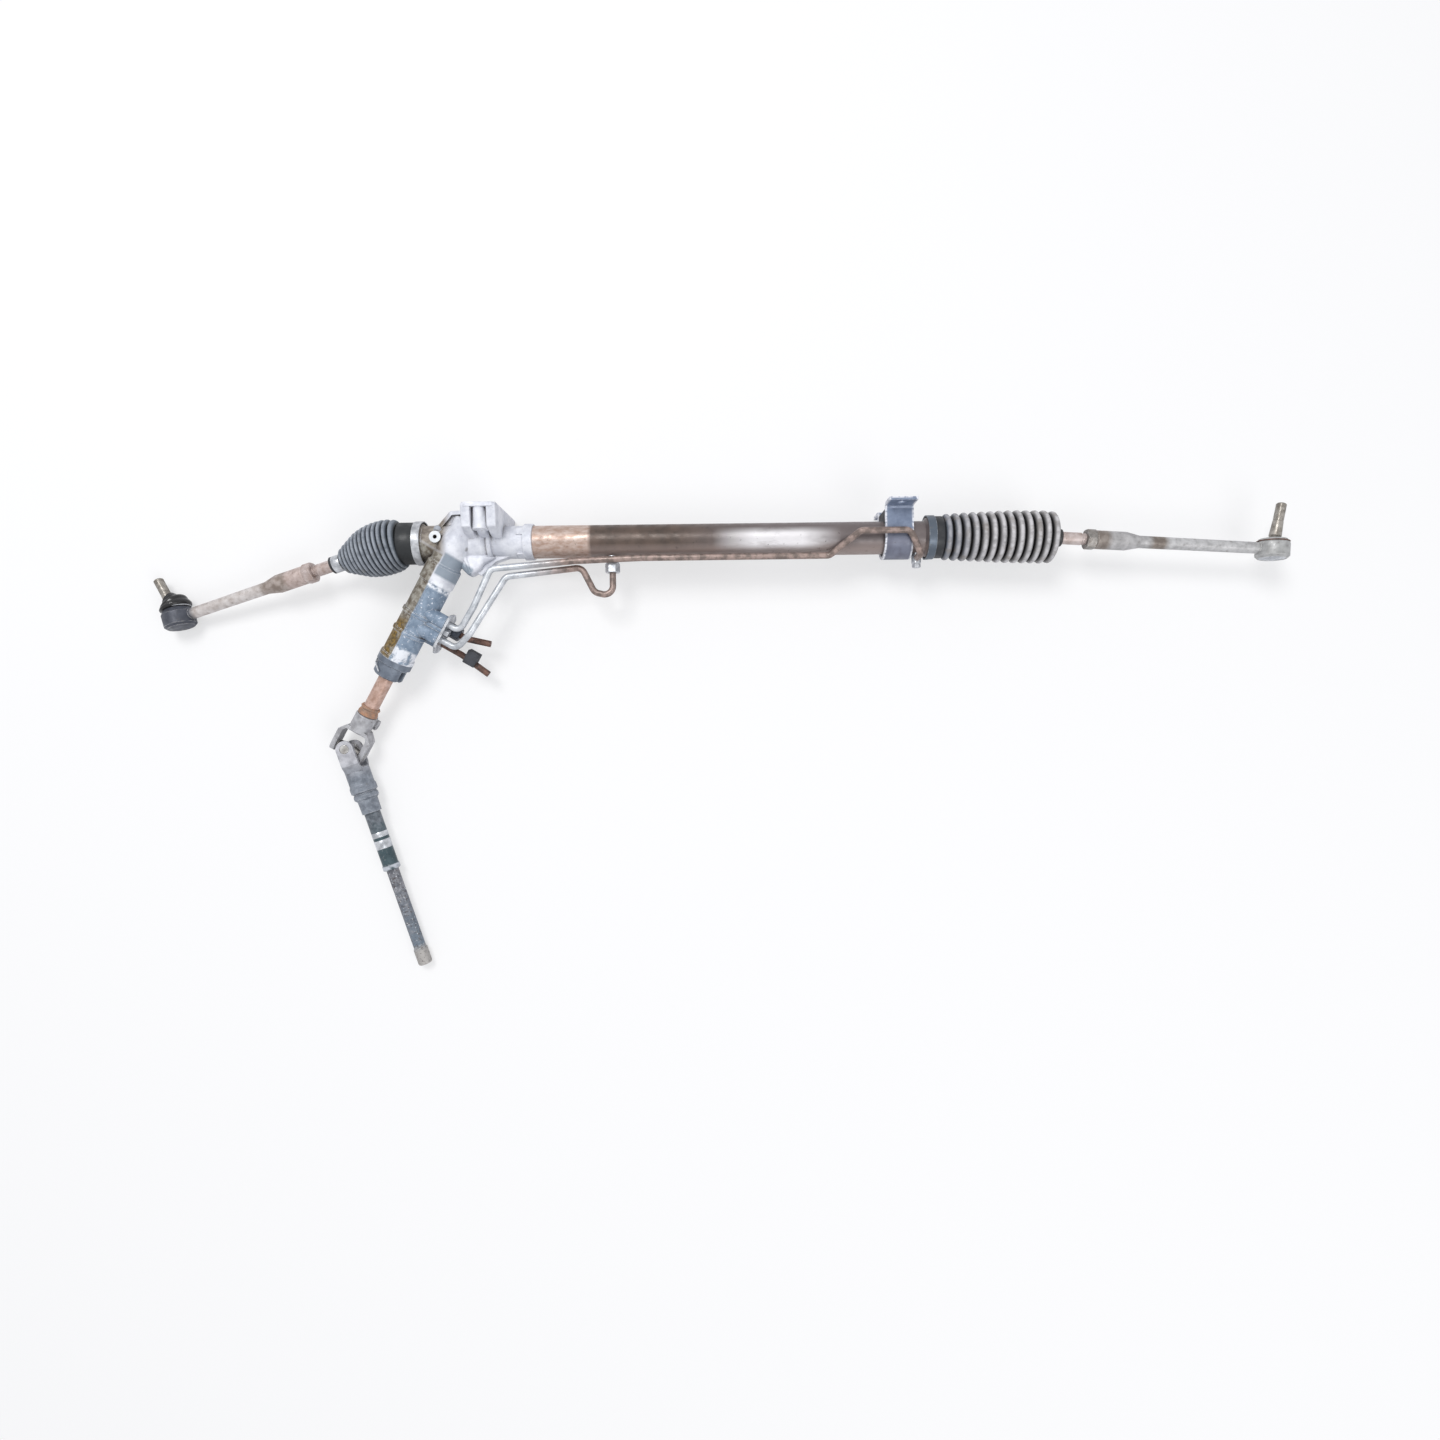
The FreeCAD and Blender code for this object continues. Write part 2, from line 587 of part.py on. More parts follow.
def port_frame(reach, along=0.0, row=0.0):
    """Frame on the ported side of the tower: +Z points out of the ports, -X along the tower."""
    return PINION.multiply(frame_at(V(reach, row, along), V(1, 0, 0), V(0, 1, 0)))


def port_plate():
    lo, hi = PLATE_SPAN
    high = PLATE_HALF_HEIGHT
    outline = [(-lo, -4), (-lo - 8, -high), (4 - hi, -high), (-hi, 6 - high), (-hi, 2),
               (12 - hi, high), (-lo - 4, high), (-lo, high - 5)]
    plate = prism(outline, 0, PORT_PLATE)
    for along, row in PORT_SPOTS:
        plate = plate.cut(Part.makeCylinder(PORT_HOLE_R, 10, V(-along, row * PORT_ROW, -2)))
    along, row = PLATE_BOLT_SPOT
    plate = plate.cut(Part.makeCylinder(PLATE_BOLT_R, 10, V(-along, row, -2)))
    return put(plate, port_frame(PORT_FACE))


def port_plate_bolt():
    shank = rod(PLATE_BOLT_R, -PLATE_BOLT_DEPTH, PORT_PLATE)
    head = hexagon(10, PORT_PLATE, PORT_PLATE + 6)
    return put(fused(shank, head), port_frame(PORT_FACE, *PLATE_BOLT_SPOT))


def pressure_line_nut():
    along, row = PORT_SPOTS[2]
    spot = port_frame(PORT_FACE, along, row * PORT_ROW)
    return put(hexagon(17, PORT_PLATE, PORT_PLATE + 16, bore=PIPE_R), spot)


def pressure_line():
    points = [port_point(2, PORT_FACE - 6), port_point(2, 66), port_point(2, 66) + PRESSURE_RUN]
    return bent_tube(points, PRESSURE_BEND, PIPE_R)


def return_line():
    points = [port_point(3, PORT_FACE - 6), port_point(3, 70), port_point(3, 70) + RETURN_RUN]
    return bent_tube(points, RETURN_BEND, PIPE_R)


def line_clip():
    """Rubber block pushed on the return line where the lower transfer pipe passes."""
    along, row = PORT_SPOTS[3]
    clip = put(block(-9, 9, -8, 8, 76, 92), port_frame(0, along - 3, row * PORT_ROW))
    return clip.cut(return_line())


def bellows_clamps():
    clamps = []
    for side in SIDES.values():
        lo, hi = sorted((side["cuff_x"], side["cuff_x"] + side["out"] * CLAMP_WIDTH))
        ring = rod(CUFF_R + CLAMP_THICK, lo, hi, bore=CUFF_R + SEAT_GAP)
        ear = block(-3, 3, CUFF_R + 0.6, CUFF_R + 4.2, lo + 1.5, hi - 1.5)
        ear.rotate(V(0, 0, 0), V(0, 0, 1), -140)
        clamps.append(put(fused(ring, ear), ALONG_RACK))
    return Part.makeCompound(clamps)


def mounting_strap():
    """Strip bent round the bushed tube, with two feet folded out against the crossmember."""
    outer = BUSH_R + STRAP_THICK
    bend = 4.0
    back = MOUNT_Y - STRAP_THICK
    half = STRAP_WIDTH / 2
    loop = rod(outer, -half, half, bore=BUSH_R)
    pieces = [loop.cut(block(-outer, outer, 0, outer + 1, -half - 1, half + 1))]
    for side in (-1, 1):
        leg = [(side * BUSH_R, 0), (side * outer, 0), (side * outer, back - bend),
               (side * (outer + bend * 0.3), back - bend * 0.3), (side * (outer + bend), back),
               (side * FOOT_Z, back), (side * FOOT_Z, MOUNT_Y), (side * (outer + 1), MOUNT_Y),
               (side * (BUSH_R + 1.2), MOUNT_Y - 2), (side * BUSH_R, MOUNT_Y - 6)]
        pieces.append(prism(leg, -half, half))
    strap = fused(*pieces)
    for side in (-1, 1):
        spot = V(side * BOLT_SPACING / 2, MOUNT_Y - 8, 0)
        strap = strap.cut(Part.makeCylinder(BOLT_HOLE_R, 12, spot, V(0, 1, 0)))
    return put(strap, frame_at(V(STRAP_X, 0, 0), V(1, 0, 0), V(0, 1, 0)))


def strap_bush():
    half = STRAP_WIDTH / 2 - 1
    round_part = rod(BUSH_R, -half, half)
    square_part = block(-BUSH_R, BUSH_R, 0, MOUNT_Y - 7, -half, half)
    bush = fused(round_part, square_part).cut(rod(TUBE_R, -half - 1, half + 1))
    return put(bush, frame_at(V(STRAP_X, 0, 0), V(1, 0, 0), V(0, 1, 0)))


def inner_sockets():
    """Ball sockets screwed on the ends of the rack bar."""
    sockets = []
    for side in SIDES.values():
        back = -RACK_END_GAP
        outline = [(0, back), (SOCKET_R - 2, back), (SOCKET_R, back + 2), (SOCKET_R, SOCKET_LIP - 4),
                   (SOCKET_R - 3, SOCKET_LIP), (0, SOCKET_LIP)]
        flats = lathe(outline).common(block(-SOCKET_R, SOCKET_R, 1.5 - SOCKET_R, SOCKET_R - 1.5,
                                            back, SOCKET_LIP))
        shape = flats.cut(ball(BALL_R + LINER + RUN_GAP))
        sockets.append(put(shape, frame_at(side["centre"], V(side["out"], 0, 0), V(0, 1, 0))))
    return Part.makeCompound(sockets)


def outer_seat(side):
    """Plastic ring in the joint's body, hollowed to hold the ball above and below its middle."""
    inner = OUTER_BALL_R + RUN_GAP
    low, high = OUTER_SEAT_SPAN
    skirt = rod(math.sqrt(inner ** 2 - OUTER_SEAT_HOLD ** 2), low - 1, -OUTER_SEAT_HOLD)
    ring = rod(OUTER_BALL_R + LINER, low, high).cut([ball(inner), skirt])
    return put(ring, side["joint"])


def inner_seat(side):
    """Plastic liner that turns in the socket with the rod."""
    shell = ball(BALL_R + LINER).common(rod(BALL_R + LINER, *INNER_SEAT_SPAN))
    return put(shell.cut(ball(BALL_R + RUN_GAP)), side["tie"])


def inner_tie_rod(side):
    mouth = side["rod_reach"]
    end = mouth + ENGAGED
    neck = [(0, -BALL_R * 0.5), (NECK_OF_BALL_R, -BALL_R * 0.5), (NECK_OF_BALL_R, 12), (ROD_R, 17),
            (ROD_R, mouth - 18), (THREAD_R, mouth - 17), (THREAD_R, end), (0, end)]
    return put(fused(ball(BALL_R), lathe(neck)), side["tie"])


def lock_nut(side):
    mouth = side["rod_reach"]
    return put(hexagon(24, mouth - LOCK_NUT_LENGTH, mouth, bore=THREAD_R), side["tie"])


def outer_tie_rod_end(side):
    mouth = side["rod_reach"]
    socket_end = mouth + END_SOCKET_LENGTH
    outline = [(0, mouth), (END_SOCKET_R - 1, mouth), (END_SOCKET_R, mouth + 1.5),
               (END_SOCKET_R, socket_end - 8), (ARM_R, socket_end + 10), (ARM_R - 0.6, TIE_LENGTH),
               (0, TIE_LENGTH)]
    arm = put(lathe(outline), side["tie"])
    body = [(0, JOINT_BOTTOM), (JOINT_R - 3, JOINT_BOTTOM), (JOINT_R, JOINT_BOTTOM + 3),
            (JOINT_R, JOINT_TOP - 6), (JOINT_R - 3.5, JOINT_TOP), (0, JOINT_TOP)]
    shape = fused(arm, put(lathe(body), side["joint"]))
    room = OUTER_BALL_R + LINER + SEAT_GAP
    low, high = OUTER_SEAT_SPAN
    throat = math.sqrt(OUTER_BALL_R ** 2 - high ** 2) + THROAT_GAP
    cap_r = JOINT_R - 4
    cavity = lathe([(0, JOINT_BOTTOM - 1), (cap_r, JOINT_BOTTOM - 1), (cap_r, low - 0.1), (room, low - 0.1),
                    (room, high), (throat, high), (throat, high + 1.5), (12.8, JOINT_TOP),
                    (12.8, JOINT_TOP + 1), (0, JOINT_TOP + 1)])
    thread = put(rod(THREAD_R, mouth - 1, mouth + ENGAGED + 6), side["tie"])
    return shape.cut([put(cavity, side["joint"]), thread])


def closing_cap(side):
    """Pressed disc that closes the joint below, dished for the ball."""
    edge = JOINT_R - 4
    top = OUTER_SEAT_SPAN[0] - 0.1
    dish = -OUTER_BALL_R - 0.5
    outline = [(0, JOINT_BOTTOM - 1.5), (9, JOINT_BOTTOM - 1.0), (edge, JOINT_BOTTOM + 0.5), (edge, top),
               (8, top), (4.5, dish), (0, dish)]
    return put(lathe(outline), side["joint"])


def ball_stud(side):
    outline = [(0, -OUTER_BALL_R * 0.5), (NECK_OF_BALL_R, -OUTER_BALL_R * 0.5),
               (NECK_OF_BALL_R, TAPER_START - 3), (TAPER_BIG_R, TAPER_START),
               (TAPER_SMALL_R, TAPER_END), (STUD_R, TAPER_END + 0.6), (STUD_R, STUD_END - 1.2),
               (STUD_R - 1.2, STUD_END), (0, STUD_END)]
    return put(fused(ball(OUTER_BALL_R), lathe(outline)), side["stud"])


def bezier(points, t):
    a, b, c = points
    return a * (1 - t) ** 2 + b * (2 * t * (1 - t)) + c * t ** 2


def path_spots(points, count):
    """Points at equal steps of arc length along a quadratic curve."""
    fine = 200
    dots = [bezier(points, i / fine) for i in range(fine + 1)]
    lengths = [0.0]
    for before, after in zip(dots, dots[1:]):
        lengths.append(lengths[-1] + (after - before).Length)
    spots = []
    at = 0
    for step in range(count + 1):
        goal = lengths[-1] * step / count
        while at < fine - 1 and lengths[at + 1] < goal:
            at += 1
        share = (goal - lengths[at]) / (lengths[at + 1] - lengths[at])
        spots.append(dots[at] + (dots[at + 1] - dots[at]) * share)
    return spots


def crest_radius(side, share):
    spots = side["crests"]
    place = share * (len(spots) - 1)
    low = min(int(place), len(spots) - 2)
    return spots[low] + (spots[low + 1] - spots[low]) * (place - low)


def bellows_fold(before, crest, after, length):
    """One fold as two cones, run on past both valleys by the lap."""
    first = (crest - before) * 2 / length
    second = (crest - after) * 2 / length
    return lathe([(0, -FOLD_LAP), (before - first * FOLD_LAP, -FOLD_LAP), (crest, length / 2),
                  (after - second * FOLD_LAP, length + FOLD_LAP), (0, length + FOLD_LAP)])


def bellows(side):
    """Convoluted boot from the housing land to the inner tie rod, at its length at rest."""
    out = side["out"]
    along_rack = frame_at(V(0, 0, 0), V(out, 0, 0), V(0, 1, 0))
    mouth = V(side["mouth_x"], 0, 0)
    grip = side["grip"]
    neck_r = ROD_R + BELLOWS_WALL
    spots = path_spots([mouth, side["centre"], side["centre"] + side["dir"] * grip], BELLOWS_FOLDS)
    valleys = [crest_radius(side, i / BELLOWS_FOLDS) - BELLOWS_DEPTH for i in range(BELLOWS_FOLDS)]
    valleys[0] = CUFF_R
    valleys.append(neck_r)
    pieces = [put(rod(CUFF_R, out * side["cuff_x"], out * side["mouth_x"] + FOLD_LAP), along_rack),
              put(rod(neck_r, grip - FOLD_LAP, grip + BOOT_NECK), side["tie"])]
    for index in range(BELLOWS_FOLDS):
        start = spots[index]
        step = spots[index + 1] - start
        crest = crest_radius(side, (index + 0.5) / BELLOWS_FOLDS)
        pieces.append(put(bellows_fold(valleys[index], crest, valleys[index + 1], step.Length),
                          frame_at(start, step, V(0, 0, 1))))
    taper = [(0, 0), (CHAMBER_R - 1, 0), (CHAMBER_R - 1, 10), (ROD_R + 4, grip - 8), (ROD_R, grip - 2),
             (ROD_R, grip + BOOT_NECK + 1), (0, grip + BOOT_NECK + 1)]
    land = rod(BOOT_LAND_R, out * side["cuff_x"] - 1, out * side["mouth_x"] - 1)
    chamber = rod(CHAMBER_R, out * side["mouth_x"] - 2, out * side["ball_x"])
    hollow = fused(put(fused(land, chamber), along_rack), put(ball(CHAMBER_R + 0.5), side["tie"]),
                   put(lathe(taper), side["tie"]))
    return fused(*pieces).cut(hollow)


def left_dust_boot():
    """Boot over the left outer ball: a bulge on the joint and a sleeve on the leaning stud."""
    side = SIDES["left"]
    foot = JOINT_TOP + 0.2
    lip = JOINT_TOP + 16
    wall = BELLOWS_WALL
    bulge = put(lathe([(0, foot), (15.5, foot), (18.2, foot + 2.3), (18.2, foot + 6), (12, foot + 9.8),
                       (0, foot + 9.8)]), side["joint"])
    sleeve = put(lathe([(0, foot + 4.5), (10, foot + 4.5), (12, foot + 7), (10.4, foot + 11.8),
                        (9.6, foot + 12.5), (9.6, lip), (0, lip)]), side["stud"])
    room = put(lathe([(0, foot - 1), (15.5 - wall, foot - 1), (15.5 - wall, foot), (18.2 - wall, foot + 3.1),
                      (18.2 - wall, foot + 5.2), (10, foot + 8.2), (0, foot + 8.2)]), side["joint"])
    throat = put(lathe([(0, foot + 3.5), (9, foot + 3.5), (10.2, foot + 6.5), (8.5, foot + 10.8),
                        (9.6 - wall, foot + 12), (9.6 - wall, lip + 1), (0, lip + 1)]), side["stud"])
    return fused(bulge, sleeve).cut([room, throat])


def pinion_outline():
    """Involute pinion, with one tooth pointing at the rack."""
    base = PITCH_R * math.cos(PRESSURE_ANGLE)
    tip = PITCH_R + ADDENDUM * TOOTH_MODULE
    root = PITCH_R - (ADDENDUM + ROOT_CLEARANCE) * TOOTH_MODULE
    half = math.pi / (2 * PINION_TEETH) - BACKLASH / 2 / PITCH_R
    full = half + math.tan(PRESSURE_ANGLE) - PRESSURE_ANGLE

    def flank(radius):
        if radius <= base:
            return full
        turn = math.acos(base / radius)
        return full - (math.tan(turn) - turn)

    steps = 5
    radii = [root] + [base + (tip - base) * i / steps for i in range(steps + 1)]
    outline = []
    for tooth in range(PINION_TEETH):
        middle = -math.pi / 2 + 2 * math.pi * tooth / PINION_TEETH
        left = [(middle - flank(r), r) for r in radii]
        right = [(middle + flank(r), r) for r in reversed(radii)]
        outline += [(r * math.cos(a), r * math.sin(a)) for a, r in left + right]
    return outline


def pinion_shaft():
    half = PINION_TOOTH_LENGTH / 2
    teeth = prism(pinion_outline(), -half, half)
    core = [(0, -26), (5.4, -26), (6, -25.4), (6, -half), (4, -half), (4, half), (6, half),
            (8, half + 2), (8, 60), (TORSION_R, 60), (TORSION_R, 42), (0, 42)]
    return put(fused(teeth, lathe(core)), PINION)


def valve_sleeve():
    outer = VALVE_BORE_R - RUN_GAP
    outline = [(INPUT_R + RUN_GAP, 62), (outer, 62)]
    for start in (84, 96, 108, 120):
        outline += [(outer, start), (outer - 1.5, start + 0.5), (outer - 1.5, start + 5.5),
                    (outer, start + 6)]
    outline += [(outer, 148), (INPUT_R + RUN_GAP, 148)]
    web = rod(outer, 44, 62, bore=8)
    return put(fused(lathe(outline), web), PINION)


def input_shaft():
    end = JOINT_REACH - HUB_REACH - 3
    grip = TORSION_SPAN[1] - TORSION_HEAD - 2
    outline = [(INPUT_BORE_R, 64), (INPUT_R, 64), (INPUT_R, end - 1), (INPUT_R - 1, end), (TORSION_R, end),
               (TORSION_R, grip), (INPUT_BORE_R, grip - 2)]
    return put(lathe(outline), PINION)


def torsion_bar():
    low, high = TORSION_SPAN
    slim = TORSION_R - 1
    outline = [(0, low), (TORSION_R, low), (TORSION_R, low + TORSION_HEAD), (slim, low + TORSION_HEAD + 6),
               (slim, high - TORSION_HEAD - 10), (TORSION_R, high - TORSION_HEAD - 2), (TORSION_R, high),
               (0, high)]
    return put(lathe(outline), PINION)


def input_dust_collar():
    end = JOINT_REACH - HUB_REACH - UPPER_HUB - COLLAR_GAP
    outline = [(INPUT_R, end - 12), (11.5, end - 12), (12.8, end - 10), (11.2, end - 7), (13.0, end - 3),
               (13.0, end), (INPUT_R, end)]
    return put(lathe(outline), PINION)


def joint_fork(hub, hub_length, bore):
    """Yoke with its ears on +Y and -Y; +Z points from the hub to the joint centre."""
    base = -HUB_REACH
    half = [(0, base - 6), (0, base), (13.5, base), (YOKE_EAR_IN, base + 4), (YOKE_EAR_IN, YOKE_EAR_R),
            (YOKE_EAR_OUT, YOKE_EAR_R), (YOKE_EAR_OUT, base + 5), (hub, base - 5)]
    arms = []
    for side in (-1, 1):
        outline = [(side * y, z) for y, z in half]
        arm = prism(outline, -YOKE_EAR_R, YOKE_EAR_R)
        arms.append(put(arm, ALONG_RACK_YZ))
    round_end = Part.makeCylinder(YOKE_EAR_R, 60, V(0, -30, 0), V(0, 1, 0))
    keep = round_end.fuse(block(-YOKE_EAR_R, YOKE_EAR_R, -30, 30, base - 8, 0))
    hub_part = rod(hub, base - hub_length, base - 1, edge=1.0)
    shape = fused(hub_part, fused(*arms).common(keep))
    pins = Part.makeCylinder(CAP_PIN_R, 60, V(0, -30, 0), V(0, 1, 0))
    return shape.cut([pins, rod(bore, base - hub_length - 1, base - 2)])


UPPER_FORK = frame_at(JOINT_CENTRE, PINION_DIR, UPPER_PIN_DIR)
LOWER_FORK = frame_at(JOINT_CENTRE, SHAFT_AXIS * -1, LOWER_PIN_DIR)
PINCH_X = 16.5
PINCH_Z = -HUB_REACH - 14.0


def upper_yoke():
    fork = joint_fork(14.0, UPPER_HUB, INPUT_R)
    lug = block(6, PINCH_X + 6, -9, 9, PINCH_Z - 8, PINCH_Z + 8)
    slit = block(4, PINCH_X + 8, -1, 1, -HUB_REACH - 27, -HUB_REACH - 2)
    head_seat = block(PINCH_X - 8.5, PINCH_X + 9, 9, 16, PINCH_Z - 8.5, PINCH_Z + 8.5)
    hole = Part.makeCylinder(4.0, 30, V(PINCH_X, -15, PINCH_Z), V(0, 1, 0))
    shape = fused(fork, lug).cut([rod(INPUT_R, -HUB_REACH - 30, -HUB_REACH - 2), slit, hole,
                                 head_seat])
    return put(shape, UPPER_FORK)


def yoke_pinch_bolt():
    spot = frame_at(V(PINCH_X, 0, PINCH_Z), V(0, 1, 0), V(0, 0, 1))
    bolt = fused(rod(4.0, -12, 9, edge=0.5), hexagon(13, 9, 15))
    return put(bolt, UPPER_FORK.multiply(spot))


def bearing_caps(fork):
    caps = []
    for side in (-1, 1):
        cup = rod(CAP_PIN_R, 14.8, YOKE_EAR_OUT, edge=0.5).cut(rod(TRUNNION_R + RUN_GAP, 14, 21.2))
        caps.append(put(cup, fork.multiply(frame_at(V(0, 0, 0), V(0, side, 0), V(0, 0, 1)))))
    return Part.makeCompound(caps)


def joint_cross():
    arms = []
    for direction in (UPPER_PIN_DIR, LOWER_PIN_DIR):
        turned = lathe([(0, -21), (TRUNNION_R, -21), (TRUNNION_R, -14.5), (5.5, -14.5), (7.5, -6),
                        (7.5, 6), (5.5, 14.5), (TRUNNION_R, 14.5), (TRUNNION_R, 21), (0, 21)])
        arms.append(put(turned, frame_at(JOINT_CENTRE, direction, PINION_DIR)))
    return fused(*arms)


def lower_yoke():
    fork = joint_fork(16.0, LOWER_HUB, SHAFT_TUBE_R)
    outline = [(SHAFT_TUBE_R, -50), (16, -50), (17.2, -53), (17.2, -60), (14.5, -62), (16, -65),
               (16, -69), (13, -72), (12.6, -90), (SHAFT_TUBE_R, -90)]
    return put(fused(fork, lathe(outline)), LOWER_FORK)


def flat_bar(gap, z0, z1):
    """Round bar with two flats, which keep the sliding shaft from turning."""
    bar = rod(SLIDER_R + gap, z0, z1)
    return bar.common(block(-SLIDER_R - 1, SLIDER_R + 1, -SLIDER_FLAT - gap, SLIDER_FLAT + gap, z0, z1))


def shaft_tube():
    end = SHAFT_TUBE_END
    bead = SHAFT_TUBE_R + 1
    outline = [(0, 52), (SHAFT_TUBE_R, 52), (SHAFT_TUBE_R, end - 8), (bead, end - 6), (bead, end - 1),
               (SHAFT_TUBE_R, end), (0, end)]
    tube = lathe(outline).cut(flat_bar(RUN_GAP, 60, end + 1))
    return put(tube, SHAFT)


def inner_shaft():
    bar = flat_bar(0, 105, SHAFT_END - SPLINE_LENGTH)
    spline = rod(SPLINE_R, SHAFT_END - SPLINE_LENGTH, SHAFT_END, edge=1.0)
    return put(fused(bar, spline), SHAFT)


def build():
    yield "pinion_housing", pinion_housing()
    yield "valve_end_cap", valve_end_cap()
    yield "valve_cap_clip", valve_cap_clip()
    yield "pinion_bearings", pinion_bearings()
    yield "input_seal", input_seal()
    yield "rack_yoke", rack_yoke()
    yield "yoke_spring", yoke_spring()
    yield "yoke_plug", yoke_plug()
    yield "yoke_lock_nut", yoke_lock_nut()
    yield "rack_bush", rack_bush()
    yield "rack_tube", rack_tube()
    yield "tube_collar", tube_collar()
    yield "rack_seals", rack_seals()
    yield "end_bush", end_bush()
    yield "pipe_ports", pipe_ports()
    yield "near_transfer_pipe", near_transfer_pipe()
    yield "far_transfer_pipe", far_transfer_pipe()
    yield "port_plate", port_plate()
    yield "port_plate_bolt", port_plate_bolt()
    yield "pressure_line_nut", pressure_line_nut()
    yield "pressure_line", pressure_line()
    yield "return_line", return_line()
    yield "line_clip", line_clip()
    yield "mounting_strap", mounting_strap()
    yield "strap_bush", strap_bush()
    yield "bellows_clamps", bellows_clamps()
    yield "rack_bar", rack_bar()
    yield "rack_piston", rack_piston()
    yield "piston_ring", piston_ring()
    yield "inner_sockets", inner_sockets()
    yield "pinion_shaft", pinion_shaft()
    yield "valve_sleeve", valve_sleeve()
    yield "input_shaft", input_shaft()
    yield "torsion_bar", torsion_bar()
    yield "input_dust_collar", input_dust_collar()
    yield "upper_yoke", upper_yoke()
    yield "yoke_pinch_bolt", yoke_pinch_bolt()
    yield "upper_joint_caps", bearing_caps(UPPER_FORK)
    yield "joint_cross", joint_cross()
    yield "lower_yoke", lower_yoke()
    yield "lower_joint_caps", bearing_caps(LOWER_FORK)
    yield "shaft_tube", shaft_tube()
    yield "inner_shaft", inner_shaft()
    yield "left_dust_boot", left_dust_boot()
    for name, side in SIDES.items():
        yield name + "_bellows", bellows(side)
        yield name + "_inner_seat", inner_seat(side)
        yield name + "_inner_tie_rod", inner_tie_rod(side)
        yield name + "_lock_nut", lock_nut(side)
        yield name + "_outer_tie_rod_end", outer_tie_rod_end(side)
        yield name + "_closing_cap", closing_cap(side)
        yield name + "_outer_seat", outer_seat(side)
        yield name + "_ball_stud", ball_stud(side)


def main():
    os.makedirs("parts", exist_ok=True)
    for name, shape in build():
        shape = shape.translated(V(0, -MOUNT_Y, 0))
        shape.exportStep(os.path.join("parts", name + ".step"))
        print(name, shape.isValid(), len(shape.Solids), round(shape.Volume))


main()
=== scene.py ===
import json
import math

import bmesh
import bpy
from mathutils import Matrix, Vector

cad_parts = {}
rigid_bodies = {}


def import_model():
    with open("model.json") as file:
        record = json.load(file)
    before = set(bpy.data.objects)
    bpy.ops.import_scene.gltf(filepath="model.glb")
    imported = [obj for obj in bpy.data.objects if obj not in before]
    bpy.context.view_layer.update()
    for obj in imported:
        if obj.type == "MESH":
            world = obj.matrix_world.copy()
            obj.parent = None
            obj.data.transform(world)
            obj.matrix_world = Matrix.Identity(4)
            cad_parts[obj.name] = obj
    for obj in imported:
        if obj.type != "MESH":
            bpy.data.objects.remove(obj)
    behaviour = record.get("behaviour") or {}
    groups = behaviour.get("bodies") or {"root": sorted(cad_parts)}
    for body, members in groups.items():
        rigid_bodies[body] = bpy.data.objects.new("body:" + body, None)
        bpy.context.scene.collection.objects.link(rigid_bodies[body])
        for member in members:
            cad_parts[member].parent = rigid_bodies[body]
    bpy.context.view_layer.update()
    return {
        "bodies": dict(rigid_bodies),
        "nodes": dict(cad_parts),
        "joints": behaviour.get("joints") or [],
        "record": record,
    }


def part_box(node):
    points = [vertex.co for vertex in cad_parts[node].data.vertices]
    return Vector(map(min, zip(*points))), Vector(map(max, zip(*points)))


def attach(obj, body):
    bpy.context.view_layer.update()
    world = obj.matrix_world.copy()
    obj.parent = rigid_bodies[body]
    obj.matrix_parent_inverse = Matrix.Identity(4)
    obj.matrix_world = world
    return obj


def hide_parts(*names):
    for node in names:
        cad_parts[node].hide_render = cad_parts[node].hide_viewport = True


# A used power steering gear, seen from above as it lies on a pale floor. Metres.
# +X runs along the rack, +Y points at the crossmember it bolts to, +Z is up.

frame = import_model()

MM = 0.001
NODES = frame["nodes"]
BODIES = frame["bodies"]
JOINTS = {joint["name"]: joint for joint in frame["joints"]}
FLOOR_Z = -0.056
FLOOR_LIFT = 0.55          # share of the floor's look that is plain white

# Where the camera stood: height above the rack, and the point of the gear below it
CAMERA_HEIGHT = 1.15
CAMERA_OVER = (0.297, -0.274)
CAMERA_ROLL = math.radians(-0.7)
PHOTO_WIDTH_AT_RACK = 1.872

RACK_Y = JOINTS["left_swing"]["pos_m"][1]


def joint_point(name):
    return Vector(JOINTS[name]["pos_m"])


def joint_axis(name):
    return Vector(JOINTS[name]["axis"]).normalized()


SIDES = {}
for side in ("left", "right"):
    inner = joint_point(side + "_swing")
    outer = joint_point(side + "_stud_spin")
    up = joint_axis(side + "_stud_spin")
    SIDES[side] = {"inner": inner, "outer": outer, "up": up, "rod": (outer - inner).normalized()}
STUD_TILT = {"left": math.radians(13.7), "right": math.radians(8.6)}
for side, place in SIDES.items():
    tilt = STUD_TILT[side]
    place["stud"] = place["up"] * math.cos(tilt) + place["rod"] * math.sin(tilt)
JOINT_CENTRE = joint_point("cross_swing")
SHAFT_AXIS = joint_axis("shaft_telescope")


# Node and mesh helpers

def add(tree, kind, settings=None, inputs=None):
    """Adds one node, with its settings, and with values or links on its inputs."""
    node = tree.nodes.new(kind)
    for name, value in (settings or {}).items():
        setattr(node, name, value)
    for name, value in (inputs or {}).items():
        if isinstance(value, bpy.types.NodeSocket):
            tree.links.new(value, node.inputs[name])
        else:
            node.inputs[name].default_value = value
    return node


def linear(code):
    """Linear RGBA of an sRGB hex code."""
    channels = [int(code[i:i + 2], 16) / 255 for i in (1, 3, 5)]
    return tuple(c / 12.92 if c <= 0.04045 else ((c + 0.055) / 1.055) ** 2.4 for c in channels) + (1.0,)


def put_in_scene(name, mesh):
    piece = bpy.data.objects.new(name, mesh)
    bpy.context.scene.collection.objects.link(piece)
    return piece


